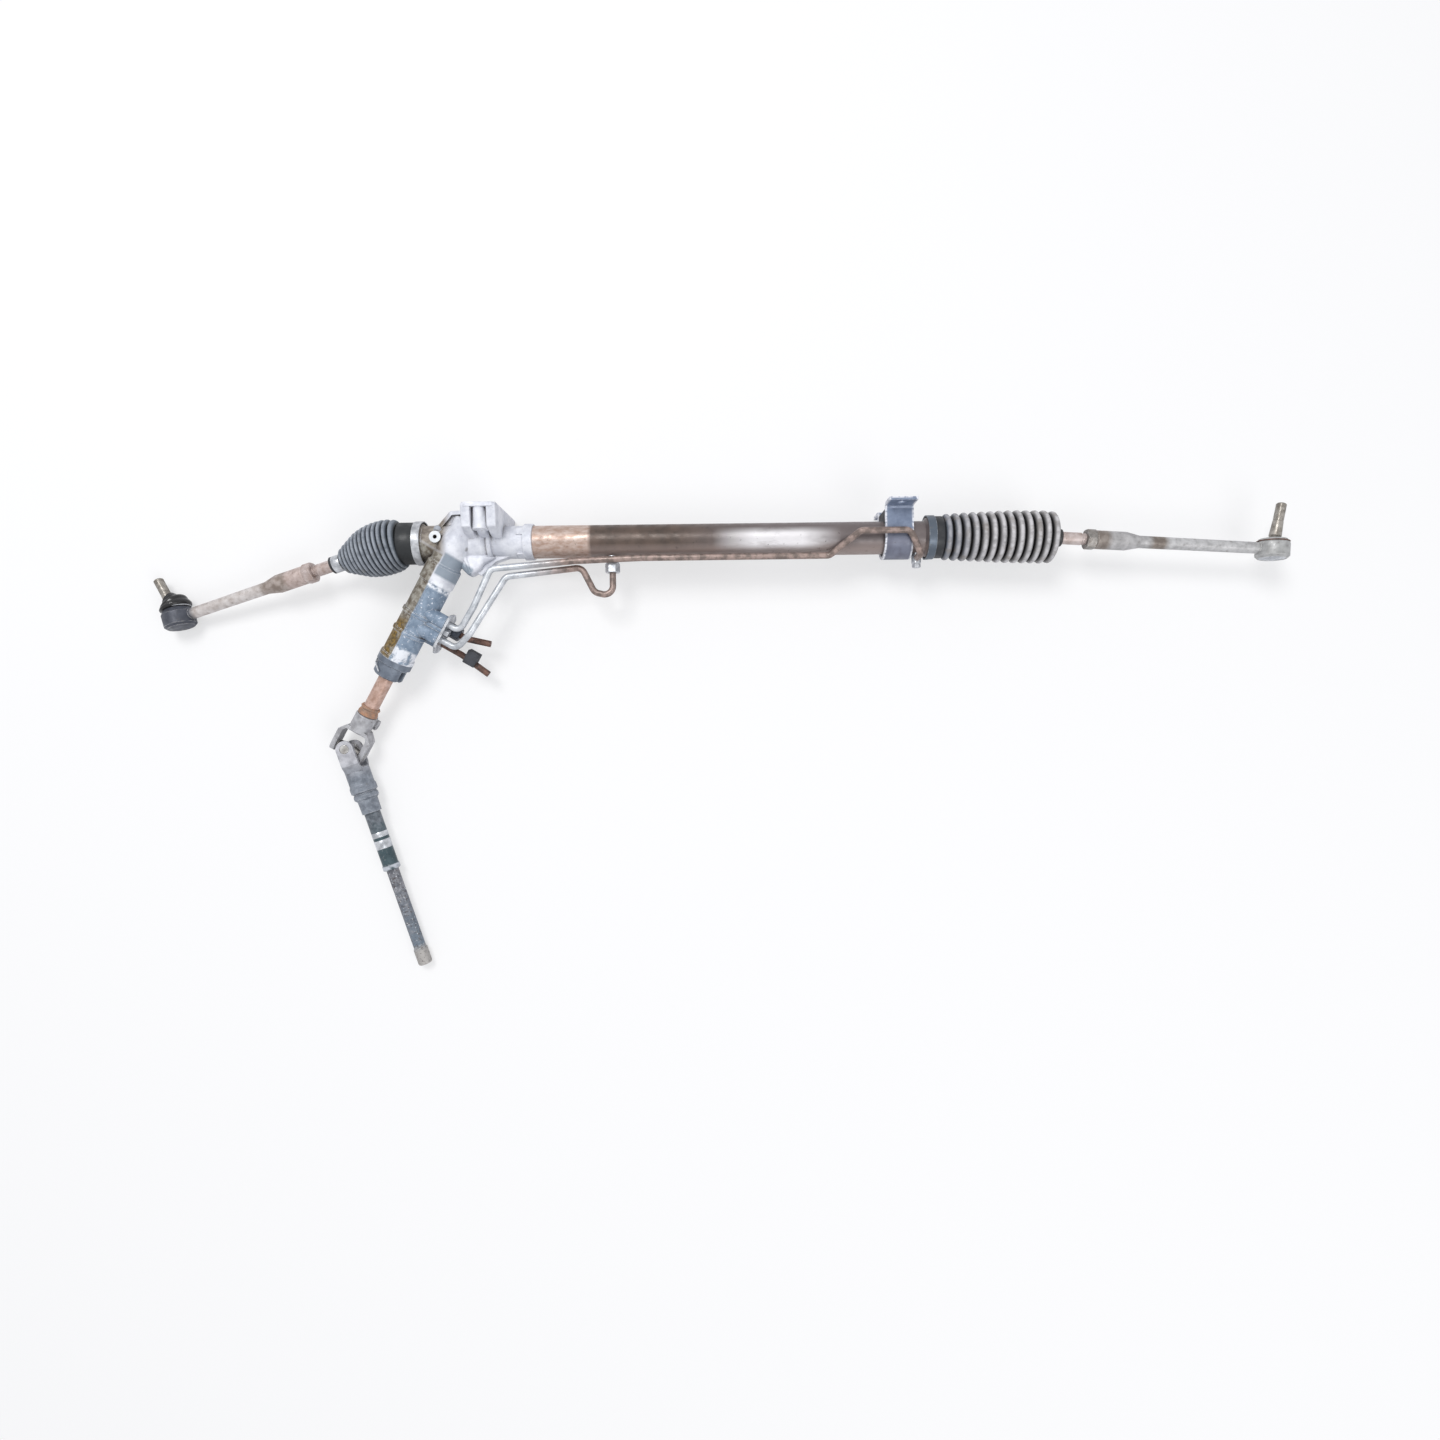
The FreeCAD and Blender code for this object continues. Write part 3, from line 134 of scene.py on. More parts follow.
def towards(origin, z_axis, y_hint=Vector((0, 0, 1))):
    """Matrix of a frame at origin with +Z along z_axis."""
    z = Vector(z_axis).normalized()
    x = Vector(y_hint).cross(z).normalized()
    y = z.cross(x)
    matrix = Matrix((x, y, z)).transposed().to_4x4()
    matrix.translation = origin
    return matrix


# Materials

ALONG_X = (1, 0, 0)
ALONG_Y = (0, 1, 0)


def begin(name):
    """New material with its shader, object coordinates and tree."""
    material = bpy.data.materials.new(name)
    material.use_nodes = True
    tree = material.node_tree
    tree.nodes.clear()
    shader = add(tree, "ShaderNodeBsdfPrincipled")
    add(tree, "ShaderNodeOutputMaterial", inputs={"Surface": shader.outputs["BSDF"]})
    place = add(tree, "ShaderNodeTexCoord").outputs["Object"]
    return material, tree, shader, place


def patches(tree, place, size_mm, low, high, detail=5.0, rough=0.6, stretch=(1, 1, 1)):
    """Soft-edged blotches about size_mm across, 0 below low and 1 above high."""
    spread = add(tree, "ShaderNodeMapping", inputs={"Vector": place, "Scale": stretch})
    noise = add(tree, "ShaderNodeTexNoise", inputs={
        "Vector": spread.outputs[0], "Scale": 1 / (size_mm * MM), "Detail": detail, "Roughness": rough})
    return add(tree, "ShaderNodeMapRange", inputs={
        "Value": noise.outputs["Fac"], "From Min": low, "From Max": high}).outputs["Result"]


def mixed(tree, factor, first, second):
    """Colour between two sRGB codes or colour sockets."""
    node = add(tree, "ShaderNodeMix", {"data_type": "RGBA"}, {"Factor": factor})
    for socket, value in ((node.inputs[6], first), (node.inputs[7], second)):
        if isinstance(value, str):
            socket.default_value = linear(value)
        else:
            tree.links.new(value, socket)
    return node.outputs[2]


def overlap(tree, first, second):
    """Mask of where both masks hold."""
    return add(tree, "ShaderNodeMath", {"operation": "MULTIPLY", "use_clamp": True},
               {0: first, 1: second}).outputs[0]


def either_of(tree, first, second):
    """Mask of where one mask or the other holds."""
    return add(tree, "ShaderNodeMath", {"operation": "ADD", "use_clamp": True},
               {0: first, 1: second}).outputs[0]


def ramp(tree, place, direction, start, end, origin=(0, 0, 0)):
    """0 at start and 1 at end, in metres from origin along direction."""
    zero = Vector(direction).dot(Vector(origin))
    reach = add(tree, "ShaderNodeVectorMath", {"operation": "DOT_PRODUCT"}, {0: place, 1: direction})
    return add(tree, "ShaderNodeMapRange", inputs={
        "Value": reach.outputs["Value"], "From Min": zero + start, "From Max": zero + end}).outputs["Result"]


def span(tree, place, direction, start, end, origin=(0, 0, 0), soft=2 * MM):
    """1 between start and end along direction, with soft borders."""
    after = ramp(tree, place, direction, start - soft / 2, start + soft / 2, origin)
    before = ramp(tree, place, direction, end + soft / 2, end - soft / 2, origin)
    return overlap(tree, after, before)


def hollows(tree, reach_mm):
    """Occlusion mask for the dirt and painted shade in hollows: 1 deep in corners and pockets, 0 in the open,
    judged on the piece by itself.
    """
    shelter = add(tree, "ShaderNodeAmbientOcclusion", {"samples": 6, "only_local": True},
                  {"Distance": reach_mm * MM})
    return add(tree, "ShaderNodeMapRange", inputs={
        "Value": shelter.outputs["AO"], "From Min": 0.72, "From Max": 0.34}).outputs["Result"]


def rounded(tree, radius_mm):
    """Normal with edges rounded off, and 1 on those edges."""
    soft_normal = add(tree, "ShaderNodeBevel", {"samples": 5}, {"Radius": radius_mm * MM}).outputs[0]
    normal = add(tree, "ShaderNodeNewGeometry").outputs["Normal"]
    likeness = add(tree, "ShaderNodeVectorMath", {"operation": "DOT_PRODUCT"}, {0: soft_normal, 1: normal})
    return soft_normal, add(tree, "ShaderNodeMapRange", inputs={
        "Value": likeness.outputs["Value"], "From Min": 0.985, "From Max": 0.90}).outputs["Result"]


def rough_skin(tree, shader, place, size_mm, height_mm, normal=None, detail=4.0):
    """Bump of grains or pits about size_mm across."""
    noise = add(tree, "ShaderNodeTexNoise", inputs={
        "Vector": place, "Scale": 1 / (size_mm * MM), "Detail": detail})
    bump = add(tree, "ShaderNodeBump", inputs={"Height": noise.outputs["Fac"], "Distance": height_mm * MM})
    if normal:
        tree.links.new(normal, bump.inputs["Normal"])
    tree.links.new(bump.outputs[0], shader.inputs["Normal"])


def uneven_gloss(tree, shader, place, size_mm, low, high):
    noise = add(tree, "ShaderNodeTexNoise", inputs={"Vector": place, "Scale": 1 / (size_mm * MM)})
    gloss = add(tree, "ShaderNodeMapRange", inputs={
        "Value": noise.outputs["Fac"], "From Min": 0.35, "From Max": 0.65, "To Min": low, "To Max": high})
    tree.links.new(gloss.outputs["Result"], shader.inputs["Roughness"])


def worn(name, clean, stained, dirt, sizes=(14, 5), dirt_from=0.58, gloss=(0.35, 0.6), metallic=0.5,
         skin=(1.2, 0.1), edge=None, edge_mm=0.7, hollow_dirt_and_shade="#3d342e", hollow_mm=6, regions=None):
    """Used surface in two tones, with its regions, dirt in blotches, dirt and painted shade darkening its
    hollows, and rubbed edges.
    """
    material, tree, shader, place = begin(name)
    tone = patches(tree, place, sizes[0], 0.38, 0.62)
    colour = mixed(tree, tone, clean, stained)
    if regions:
        colour = regions(tree, place, colour)
    grime = patches(tree, place, sizes[1], dirt_from, dirt_from + 0.1, detail=8.0, rough=0.7)
    colour = mixed(tree, grime, colour, dirt)
    soft_normal, edges = rounded(tree, edge_mm)
    if edge:
        chips = patches(tree, place, sizes[1], 0.36, 0.56, detail=8.0)
        colour = mixed(tree, overlap(tree, edges, chips), colour, edge)
    # Corners and pockets darken towards the hollows colour: dirt there, and painted shade.
    colour = mixed(tree, overlap(tree, hollows(tree, hollow_mm), 0.85), colour, hollow_dirt_and_shade)
    tree.links.new(colour, shader.inputs["Base Color"])
    shader.inputs["Metallic"].default_value = metallic
    uneven_gloss(tree, shader, place, sizes[1] * 1.7, *gloss)
    rough_skin(tree, shader, place, *skin, normal=soft_normal)
    return material


TOWER_AXIS = joint_axis("pinion_spin")
TOWER_TOP = joint_point("pinion_spin")
DOWN_TOWER = Vector((TOWER_AXIS.x, TOWER_AXIS.y, 0)).normalized()
ACROSS_TOWER = Vector((-DOWN_TOWER.y, DOWN_TOWER.x, 0))

# Small round places on the casting: centre and radius
VENT_BOSS = Vector((-0.062, -0.037, 0.028))
VENT_BOSS_RADIUS = 7.8 * MM
VENT_DOME = Vector((-0.062, -0.025, 0.020))
VENT_DOME_RADIUS = 5.2 * MM
CAST_PIT = Vector((-0.0265, -0.0515, 0.021))
CAST_PIT_RADIUS = 4.4 * MM
# A dark disc set off-centre in the cast pit is painted shade inside it.
PIT_SHADE = CAST_PIT + Vector((0.0006, -0.0008, 0))
PIT_SHADE_RADIUS = 2.9 * MM


def disc(tree, place, centre, radius):
    """1 within radius of a point."""
    away = add(tree, "ShaderNodeVectorMath", {"operation": "DISTANCE"}, {0: place, 1: centre})
    return add(tree, "ShaderNodeMapRange", inputs={
        "Value": away.outputs["Value"], "From Min": radius + 0.5 * MM,
        "From Max": radius - 0.5 * MM}).outputs["Result"]


def casting_regions(tree, place, cream):
    """Blue-grey valve tower with its dirty left side darkened as painted shade, and a smooth band, brown
    neck, cream elsewhere.
    """
    def down(start, end, soft=3 * MM):
        return span(tree, place, DOWN_TOWER, start, end, TOWER_TOP, soft)

    def across(start, end, soft=2 * MM):
        return span(tree, place, ACROSS_TOWER, start, end, TOWER_TOP, soft)

    slate = mixed(tree, patches(tree, place, 9, 0.40, 0.60, detail=7.0), "#8c9cae", "#708194")
    salt = patches(tree, place, 3.2, 0.60, 0.68, detail=6.0)
    slate = mixed(tree, salt, slate, "#e3e6ec")
    ragged = patches(tree, place, 11, 0.42, 0.52, detail=8.0)
    colour = mixed(tree, down(0.060, 0.30), cream, slate)
    colour = mixed(tree, overlap(tree, down(0.055, 0.066), ragged), colour, "#eceef2")
    colour = mixed(tree, overlap(tree, down(0.153, 0.178), ragged), colour, "#e6e8ed")
    colour = mixed(tree, overlap(tree, down(0.018, 0.048), across(0.000, 0.036)), colour, "#8e98a3")
    # The tower's left side is dirt and painted shade: brown and darker than the rest of the tower.
    shaded_flank = across(-0.060, -0.0015, 1.5 * MM)
    mud_and_shade = mixed(tree, patches(tree, place, 6, 0.38, 0.60, detail=8.0), "#a19d93", "#5f5548")
    colour = mixed(tree, overlap(tree, down(0.022, 0.30), shaded_flank), colour, mud_and_shade)
    moss = overlap(tree, down(0.118, 0.172, 10 * MM), patches(tree, place, 10, 0.33, 0.48, detail=8.0))
    ochre = mixed(tree, patches(tree, place, 3, 0.4, 0.6), "#8a6f35", "#4c3d22")
    colour = mixed(tree, overlap(tree, moss, shaded_flank), colour, ochre)
    neck = ramp(tree, place, ALONG_X, -0.046, -0.056)
    above = span(tree, place, DOWN_TOWER, -0.20, 0.022, TOWER_TOP, 6 * MM)
    clay = mixed(tree, patches(tree, place, 8, 0.36, 0.60, detail=8.0), "#9a9080", "#5b4c3b")
    colour = mixed(tree, overlap(tree, overlap(tree, neck, above), 0.9), colour, clay)
    colour = mixed(tree, disc(tree, place, VENT_BOSS, VENT_BOSS_RADIUS), colour, "#dadde0")
    colour = mixed(tree, disc(tree, place, VENT_DOME, VENT_DOME_RADIUS), colour, "#a9adb4")
    colour = mixed(tree, disc(tree, place, CAST_PIT, CAST_PIT_RADIUS), colour, "#8f8d8c")
    # Painted shade: the dark crescent inside the cast pit.
    return mixed(tree, disc(tree, place, PIT_SHADE, PIT_SHADE_RADIUS), colour, "#3c3530")


def sand_cast_aluminium():
    """Sand cast aluminium under cream-white oxide, grained, with dirt and painted shade darkening it where it
    is sheltered.
    """
    return worn("sand_cast_aluminium", "#e4e5ea", "#c6c8d0", "#8d857b", sizes=(20, 4), dirt_from=0.63,
                gloss=(0.45, 0.7), metallic=0.15, skin=(1.8, 0.4), edge="#f4f5f7", edge_mm=1.2,
                hollow_dirt_and_shade="#4b4037", hollow_mm=11, regions=casting_regions)


def machined_aluminium():
    """Turned aluminium gone blue-grey under oil film."""
    return worn("machined_aluminium", "#79818d", "#606874", "#3c4048", sizes=(14, 5), dirt_from=0.62,
                gloss=(0.3, 0.5), metallic=0.4, edge="#c9ced6")


def zinc_plate():
    """Bright zinc plating, dulled to grey with white bloom."""
    return worn("zinc_plate", "#d4d6da", "#a4a7ac", "#6a6259", sizes=(10, 3), dirt_from=0.63,
                gloss=(0.25, 0.45), metallic=0.6, skin=(0.8, 0.05), edge="#f0f1f4", edge_mm=0.5)


def clamp_regions(tree, place, colour):
    """The right clamp is dull and blue-grey with oil, the left one is bright."""
    return mixed(tree, ramp(tree, place, ALONG_X, 0.2, 0.3), colour, "#59626d")


def clamp_steel():
    """Pressed band of the bellows clamps."""
    return worn("clamp_steel", "#c6c8cb", "#9b9da1", "#6b655f", sizes=(9, 3.5), dirt_from=0.6,
                gloss=(0.3, 0.5), metallic=0.5, skin=(0.8, 0.04), edge="#e6e7e9", regions=clamp_regions)


def ground_steel():
    """Ground bearing steel, smooth and bright under oil."""
    return worn("ground_steel", "#c4c3c1", "#97938f", "#6a5749", sizes=(12, 4), dirt_from=0.66,
                gloss=(0.18, 0.35), metallic=0.9, skin=(0.5, 0.02))


def black_rubber():
    """Moulded black rubber with a dusty bloom."""
    return worn("black_rubber", "#26282c", "#393b41", "#6b645f", sizes=(12, 5), dirt_from=0.64,
                gloss=(0.55, 0.8), metallic=0.0, skin=(1.0, 0.08), edge="#54565c")


def orange_collar_rubber():
    """Dust collar at the foot of the input shaft, gone orange-brown with rust run-off."""
    return worn("orange_collar_rubber", "#b18467", "#8a7262", "#4a3a31", sizes=(7, 3), dirt_from=0.6,
                gloss=(0.5, 0.75), metallic=0.0, skin=(0.9, 0.1), edge="#cdb6a4")


def oily_steel():
    """Plain turned steel, grey with oil and first rust."""
    return worn("oily_steel", "#9b9793", "#75706c", "#5c4436", sizes=(9, 3), dirt_from=0.58,
                gloss=(0.3, 0.55), metallic=0.6, skin=(0.9, 0.08), edge="#c9c7c5")


def pale_nylon():
    """Moulded nylon of seats and slide rings."""
    return worn("pale_nylon", "#d9d4c8", "#c4bcab", "#8e7f6a", sizes=(15, 5), dirt_from=0.66,
                gloss=(0.35, 0.5), metallic=0.0, skin=(1.5, 0.02))


def tube_regions(tree, place, colour):
    """Pink-grey stretch by the casting, dark brown after it, greyer further on, paler along its -Y side as
    painted light, and a pale painted highlight along part of it.
    """
    # Paler pink-grey stretch next to the casting, ending at a sharp border along X.
    flecks = patches(tree, place, 5, 0.35, 0.6, stretch=(0.5, 1, 1), detail=8.0)
    bare = mixed(tree, flecks, "#c6b4aa", "#a98e7f")
    colour = mixed(tree, ramp(tree, place, ALONG_X, 0.24, 0.36), colour, "#6c6362")
    # Paler towards the tube's -Y side: painted light.
    under = ramp(tree, place, ALONG_Y, -0.047, -0.056)
    colour = mixed(tree, overlap(tree, under, 0.6), colour, "#a5948d")
    # A pale band along part of the tube is a painted highlight.
    pale_mask = overlap(tree, ramp(tree, place, ALONG_X, 0.290, 0.345), ramp(tree, place, ALONG_X, 0.455, 0.405))
    highlight_band = span(tree, place, ALONG_Y, -0.0545, -0.031, soft=9 * MM)
    uneven = patches(tree, place, 30, 0.25, 0.5, stretch=(0.3, 1, 1))
    colour = mixed(tree, overlap(tree, overlap(tree, pale_mask, highlight_band), uneven), colour, "#dcd9da")
    return mixed(tree, ramp(tree, place, ALONG_X, 0.1345, 0.1295), colour, bare)


def rusted_tube_steel():
    """Drawn steel tube with a brown rust skin, glossy in places, with painted light and a pale painted
    highlight along it.
    """
    return worn("rusted_tube_steel", "#5f4f46", "#4a3e37", "#322b27", sizes=(24, 6), dirt_from=0.62,
                gloss=(0.28, 0.5), metallic=0.25, skin=(0.9, 0.1), hollow_dirt_and_shade="#2c2624", regions=tube_regions)


def pipe_regions(tree, place, colour):
    """Pink-brown along the far run."""
    brown = mixed(tree, patches(tree, place, 8, 0.4, 0.6), "#9f8b83", "#6f625c")
    return mixed(tree, ramp(tree, place, ALONG_X, 0.045, 0.10), colour, brown)


def zinc_pipe():
    """Zinc plated hydraulic pipe, pale grey, worn to pink-brown steel along its far run."""
    return worn("zinc_pipe", "#d0d3d7", "#a9adb2", "#7a7068", sizes=(11, 4), dirt_from=0.6,
                gloss=(0.3, 0.5), metallic=0.35, skin=(0.8, 0.06), regions=pipe_regions)


def rusty_line():
    """Bare steel hose pipe, rust brown and black."""
    return worn("rusty_line", "#75564a", "#4c3b35", "#222021", sizes=(9, 4), dirt_from=0.54,
                gloss=(0.45, 0.7), metallic=0.25, skin=(0.9, 0.15))


def black_oxide():
    """Black oxide on a union nut, oily."""
    return worn("black_oxide", "#33373f", "#454b56", "#5e554e", sizes=(8, 3), dirt_from=0.63,
                gloss=(0.3, 0.5), metallic=0.4, skin=(0.7, 0.05), edge="#7d828c")


def strap_regions(tree, place, colour):
    """Rims and top of the strip paled by rubbed paint and a painted highlight, and painted shade where it
    passes over the tube.
    """
    low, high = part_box("mounting_strap")
    middle = ((low.x + high.x) / 2, 0, 0)
    half = (high.x - low.x) / 2
    chips = patches(tree, place, 3.5, 0.36, 0.52, detail=8.0)
    inside = span(tree, place, ALONG_X, -half + 2 * MM, half - 2 * MM, middle, 1.5 * MM)
    rim = add(tree, "ShaderNodeMath", {"operation": "SUBTRACT", "use_clamp": True}, {0: 1.0, 1: inside})
    top = ramp(tree, place, ALONG_Y, -2.4 * MM, -0.8 * MM)
    # Darker where the strip passes over the tube: painted shade.
    shade_over_tube = ramp(tree, place, ALONG_Y, -0.028, -0.045)
    colour = mixed(tree, overlap(tree, shade_over_tube, 0.45), colour, "#57484a")
    # The pale rims and top are rubbed paint and a painted highlight.
    rubbed = overlap(tree, either_of(tree, rim.outputs[0], top), chips)
    return mixed(tree, rubbed, colour, "#e8e9ee")


def chipped_strap_paint():
    """Blue-grey paint on pressed strip, rubbed through to pale metal at its edges."""
    return worn("chipped_strap_paint", "#8692a8", "#6c788e", "#4a474d", sizes=(16, 5), dirt_from=0.62,
                gloss=(0.3, 0.5), metallic=0.15, skin=(1.1, 0.08), edge="#dfe2e9", edge_mm=0.8,
                regions=strap_regions)


def folded_rubber(name, crest, slope, valley_shade, dust, dust_from, mouth):
    """Moulded rubber: pale crests, scuffed and with a painted highlight, valleys painted black as shade in
    the folds, dust between, the mouth tone near its cuff.
    """
    material, tree, shader, _ = begin(name)
    place = add(tree, "ShaderNodeAttribute", {"attribute_name": "rest_place"}).outputs["Vector"]
    height = add(tree, "ShaderNodeAttribute", {"attribute_name": "crest"}).outputs["Fac"]
    share = add(tree, "ShaderNodeAttribute", {"attribute_name": "share"}).outputs["Fac"]
    near_cuff = add(tree, "ShaderNodeMapRange", inputs={
        "Value": share, "From Min": 0.42, "From Max": 0.12}).outputs["Result"]
    side = add(tree, "ShaderNodeMapRange", inputs={
        "Value": height, "From Min": 0.52, "From Max": 0.82}).outputs["Result"]
    crest_sheen_and_scuff = add(tree, "ShaderNodeMapRange", inputs={
        "Value": height, "From Min": 0.80, "From Max": 0.985}).outputs["Result"]
    upper = mixed(tree, overlap(tree, near_cuff, 0.8), slope, mouth)
    # Valleys darken towards near black: painted shade in the folds.
    colour = mixed(tree, side, valley_shade, upper)
    # Crest tops go pale in patches: scuffs and a painted highlight.
    pale_mask = overlap(tree, crest_sheen_and_scuff, patches(tree, place, 9, 0.22, 0.55))
    rubbed = mixed(tree, overlap(tree, near_cuff, 0.5), crest, mouth)
    colour = mixed(tree, overlap(tree, pale_mask, 0.9), colour, rubbed)
    film = patches(tree, place, 13, dust_from, dust_from + 0.16, detail=7.0)
    colour = mixed(tree, overlap(tree, overlap(tree, film, side), 0.8), colour, dust)
    tree.links.new(colour, shader.inputs["Base Color"])
    uneven_gloss(tree, shader, place, 12, 0.42, 0.68)
    rough_skin(tree, shader, place, 1.3, 0.08)
    return material


def slate_bellows_rubber():
    """Left bellows: dark slate rubber, little dust."""
    # Crest colour: scuffs and painted highlight; the near-black valley colour is painted shade.
    return folded_rubber("slate_bellows_rubber", "#9aa0a8", "#565c65", "#08090a", "#726f69", 0.60, "#4b545b")


def dusty_bellows_rubber():
    """Right bellows: bleached and dusty, bluish by its clamp."""
    # Crest colour: scuffs and painted highlight; the near-black valley colour is painted shade.
    return folded_rubber("dusty_bellows_rubber", "#cfcccd", "#7f7d7d", "#0f0f10", "#827b74", 0.52, "#4d5766")


def glossy_boot_rubber():
    """Thin black rubber of the ball joint's boot, shiny with grease."""
    return worn("glossy_boot_rubber", "#0b0b0d", "#141417", "#4d4841", sizes=(9, 4), dirt_from=0.68,
                gloss=(0.22, 0.45), metallic=0.0, skin=(1.0, 0.05), hollow_dirt_and_shade="#0c0c0e")


def copper_pink_steel():
    """Bare input shaft under a thin film of rust, pink like copper."""
    return worn("copper_pink_steel", "#c8ab9e", "#a58474", "#6d4a3a", sizes=(9, 4), dirt_from=0.6,
                gloss=(0.28, 0.5), metallic=0.35, skin=(0.7, 0.05), edge="#e3d3ca")


def forged_steel():
    """Forged steel of the joint's yokes: pale scale with rust, and black grease with painted shade in the
    hollows.
    """
    return worn("forged_steel", "#b9b9bc", "#929194", "#655c55", sizes=(12, 4), dirt_from=0.6,
                gloss=(0.42, 0.65), metallic=0.3, skin=(1.8, 0.3), edge="#e6e6e8", edge_mm=1.0,
                hollow_dirt_and_shade="#1f1b1a", hollow_mm=12)


def sleeve_regions(tree, place, colour):
    """Blue-grey below the ears, where the yoke turns into its sleeve."""
    blue = mixed(tree, patches(tree, place, 9, 0.38, 0.6, detail=7.0), "#8f959e", "#6a7079")
    return mixed(tree, ramp(tree, place, SHAFT_AXIS, 0.016, 0.042, JOINT_CENTRE), colour, blue)


def sleeve_steel():
    """Forged lower yoke, pale at its ears and blue-grey with oil along its sleeve."""
    return worn("sleeve_steel", "#bcbcc1", "#96969b", "#625a54", sizes=(12, 4), dirt_from=0.62,
                gloss=(0.4, 0.62), metallic=0.3, skin=(1.6, 0.25), edge="#dcdde0", edge_mm=1.0,
                hollow_dirt_and_shade="#1f1b1a", hollow_mm=12, regions=sleeve_regions)


def slate_cap_steel():
    """Rolled-in closing cap of the left ball joint, painted dark slate."""
    return worn("slate_cap_steel", "#595c66", "#44474f", "#38332f", sizes=(9, 4), dirt_from=0.64,
                gloss=(0.35, 0.55), metallic=0.2, edge="#7d8089")


def shaft_tube_regions(tree, place, colour):
    """Grey film where the sleeve is, bare of teal."""
    upper = ramp(tree, place, SHAFT_AXIS, 0.126, 0.104, JOINT_CENTRE)
    film = mixed(tree, patches(tree, place, 6, 0.4, 0.6, detail=7.0), "#747a81", "#50565d")
    colour = mixed(tree, overlap(tree, upper, patches(tree, place, 9, 0.30, 0.46, detail=8.0)), colour, film)
    rim = span(tree, place, SHAFT_AXIS, 0.1645, 0.172, JOINT_CENTRE, 1 * MM)
    return mixed(tree, overlap(tree, rim, patches(tree, place, 11, 0.36, 0.5)), colour, "#bcc0c7")


def teal_shaft_paint():
    """Dark teal paint on the shaft's tube, chipped down to grey primer."""
    return worn("teal_shaft_paint", "#3f5258", "#2f4147", "#7c7f81", sizes=(13, 4), dirt_from=0.58,
                gloss=(0.25, 0.5), metallic=0.1, skin=(1.0, 0.08), edge="#aeb3b6", regions=shaft_tube_regions)


def inner_shaft_regions(tree, place, colour):
    """Blue-grey lower down, pale at the splined end."""
    low = ramp(tree, place, SHAFT_AXIS, 0.19, 0.28, JOINT_CENTRE)
    colour = mixed(tree, overlap(tree, low, patches(tree, place, 8, 0.3, 0.5)), colour, "#6c7884")
    specks = patches(tree, place, 2.6, 0.60, 0.68)
    colour = mixed(tree, specks, colour, "#d5d7da")
    return mixed(tree, ramp(tree, place, SHAFT_AXIS, 0.278, 0.288, JOINT_CENTRE), colour, "#b9b5b1")


def rusty_grey_steel():
    """Sliding shaft: grey steel mottled with rust, pale and rubbed at its splined end."""
    return worn("rusty_grey_steel", "#8b8c91", "#5b5d64", "#43352e", sizes=(8, 3.5), dirt_from=0.54,
                gloss=(0.38, 0.6), metallic=0.35, skin=(1.1, 0.15), edge="#c4c2c0",
                regions=inner_shaft_regions)


def pink_rod_steel():
    """Turned tie rod with an even pink-grey rust film."""
    return worn("pink_rod_steel", "#c6b9b5", "#a39088", "#6d5549", sizes=(12, 4), dirt_from=0.6,
                gloss=(0.35, 0.55), metallic=0.35, skin=(0.9, 0.08), edge="#ded6d3")


def forged_end_steel(side, bands):
    """Forged tie-rod end, one tone after another from its ball towards the rack, dirt in its pits."""
    joint = SIDES[side]

    def banded(tree, place, colour):
        for start, first, second in bands:
            tone = mixed(tree, patches(tree, place, 9, 0.38, 0.62, detail=7.0), first, second)
            reached = ramp(tree, place, -joint["rod"], start - 4 * MM, start + 4 * MM, joint["outer"])
            colour = mixed(tree, reached, colour, tone)
        return colour
    return worn(side + "_forged_end_steel", bands[0][1], bands[0][2], "#6a5c52", sizes=(14, 4.5),
                dirt_from=0.61, gloss=(0.38, 0.6), metallic=0.3, skin=(1.7, 0.25), edge="#e4e2e0",
                edge_mm=1.0, regions=banded)


LEFT_END_BANDS = ((-0.1, "#4f525b", "#3e414a"), (0.024, "#d2ccc9", "#b3aaa5"), (0.128, "#aa9e97", "#83766d"),
                  (0.165, "#c6b6b0", "#a6938b"))
RIGHT_END_BANDS = ((-0.1, "#b4b4b3", "#989897"), (0.024, "#c4c3c3", "#a3a2a2"), (0.140, "#8c827a", "#6f655e"),
                   (0.160, "#b8b6b6", "#9a9898"), (0.215, "#8f867f", "#766c65"))


def bright_stud_steel():
    """Ground taper and rolled thread of a ball stud, grey with dark stains."""
    return worn("bright_stud_steel", "#a9a49d", "#807a72", "#4c443c", sizes=(7, 3), dirt_from=0.6,
                gloss=(0.25, 0.45), metallic=0.6, skin=(0.6, 0.03), edge="#d0cdc8", edge_mm=0.4)


def pale_floor():
    """Matt studio floor, near white to the camera. It keeps a soft shadow."""
    material, tree, shader, place = begin("pale_floor")
    shader.inputs["Base Color"].default_value = linear("#f3f2f2")
    shader.inputs["Roughness"].default_value = 0.9
    shader.inputs["Specular IOR Level"].default_value = 0.1
    seen = add(tree, "ShaderNodeLightPath").outputs["Is Camera Ray"]
    glow = add(tree, "ShaderNodeEmission", inputs={"Color": (1, 1, 1, 1), "Strength": 1.0})
    lifted = overlap(tree, seen, FLOOR_LIFT)
    both = add(tree, "ShaderNodeMixShader", inputs={0: lifted, 1: shader.outputs[0], 2: glow.outputs[0]})
    output = next(node for node in tree.nodes if node.type == "OUTPUT_MATERIAL")
    tree.links.new(both.outputs[0], output.inputs["Surface"])
    return material


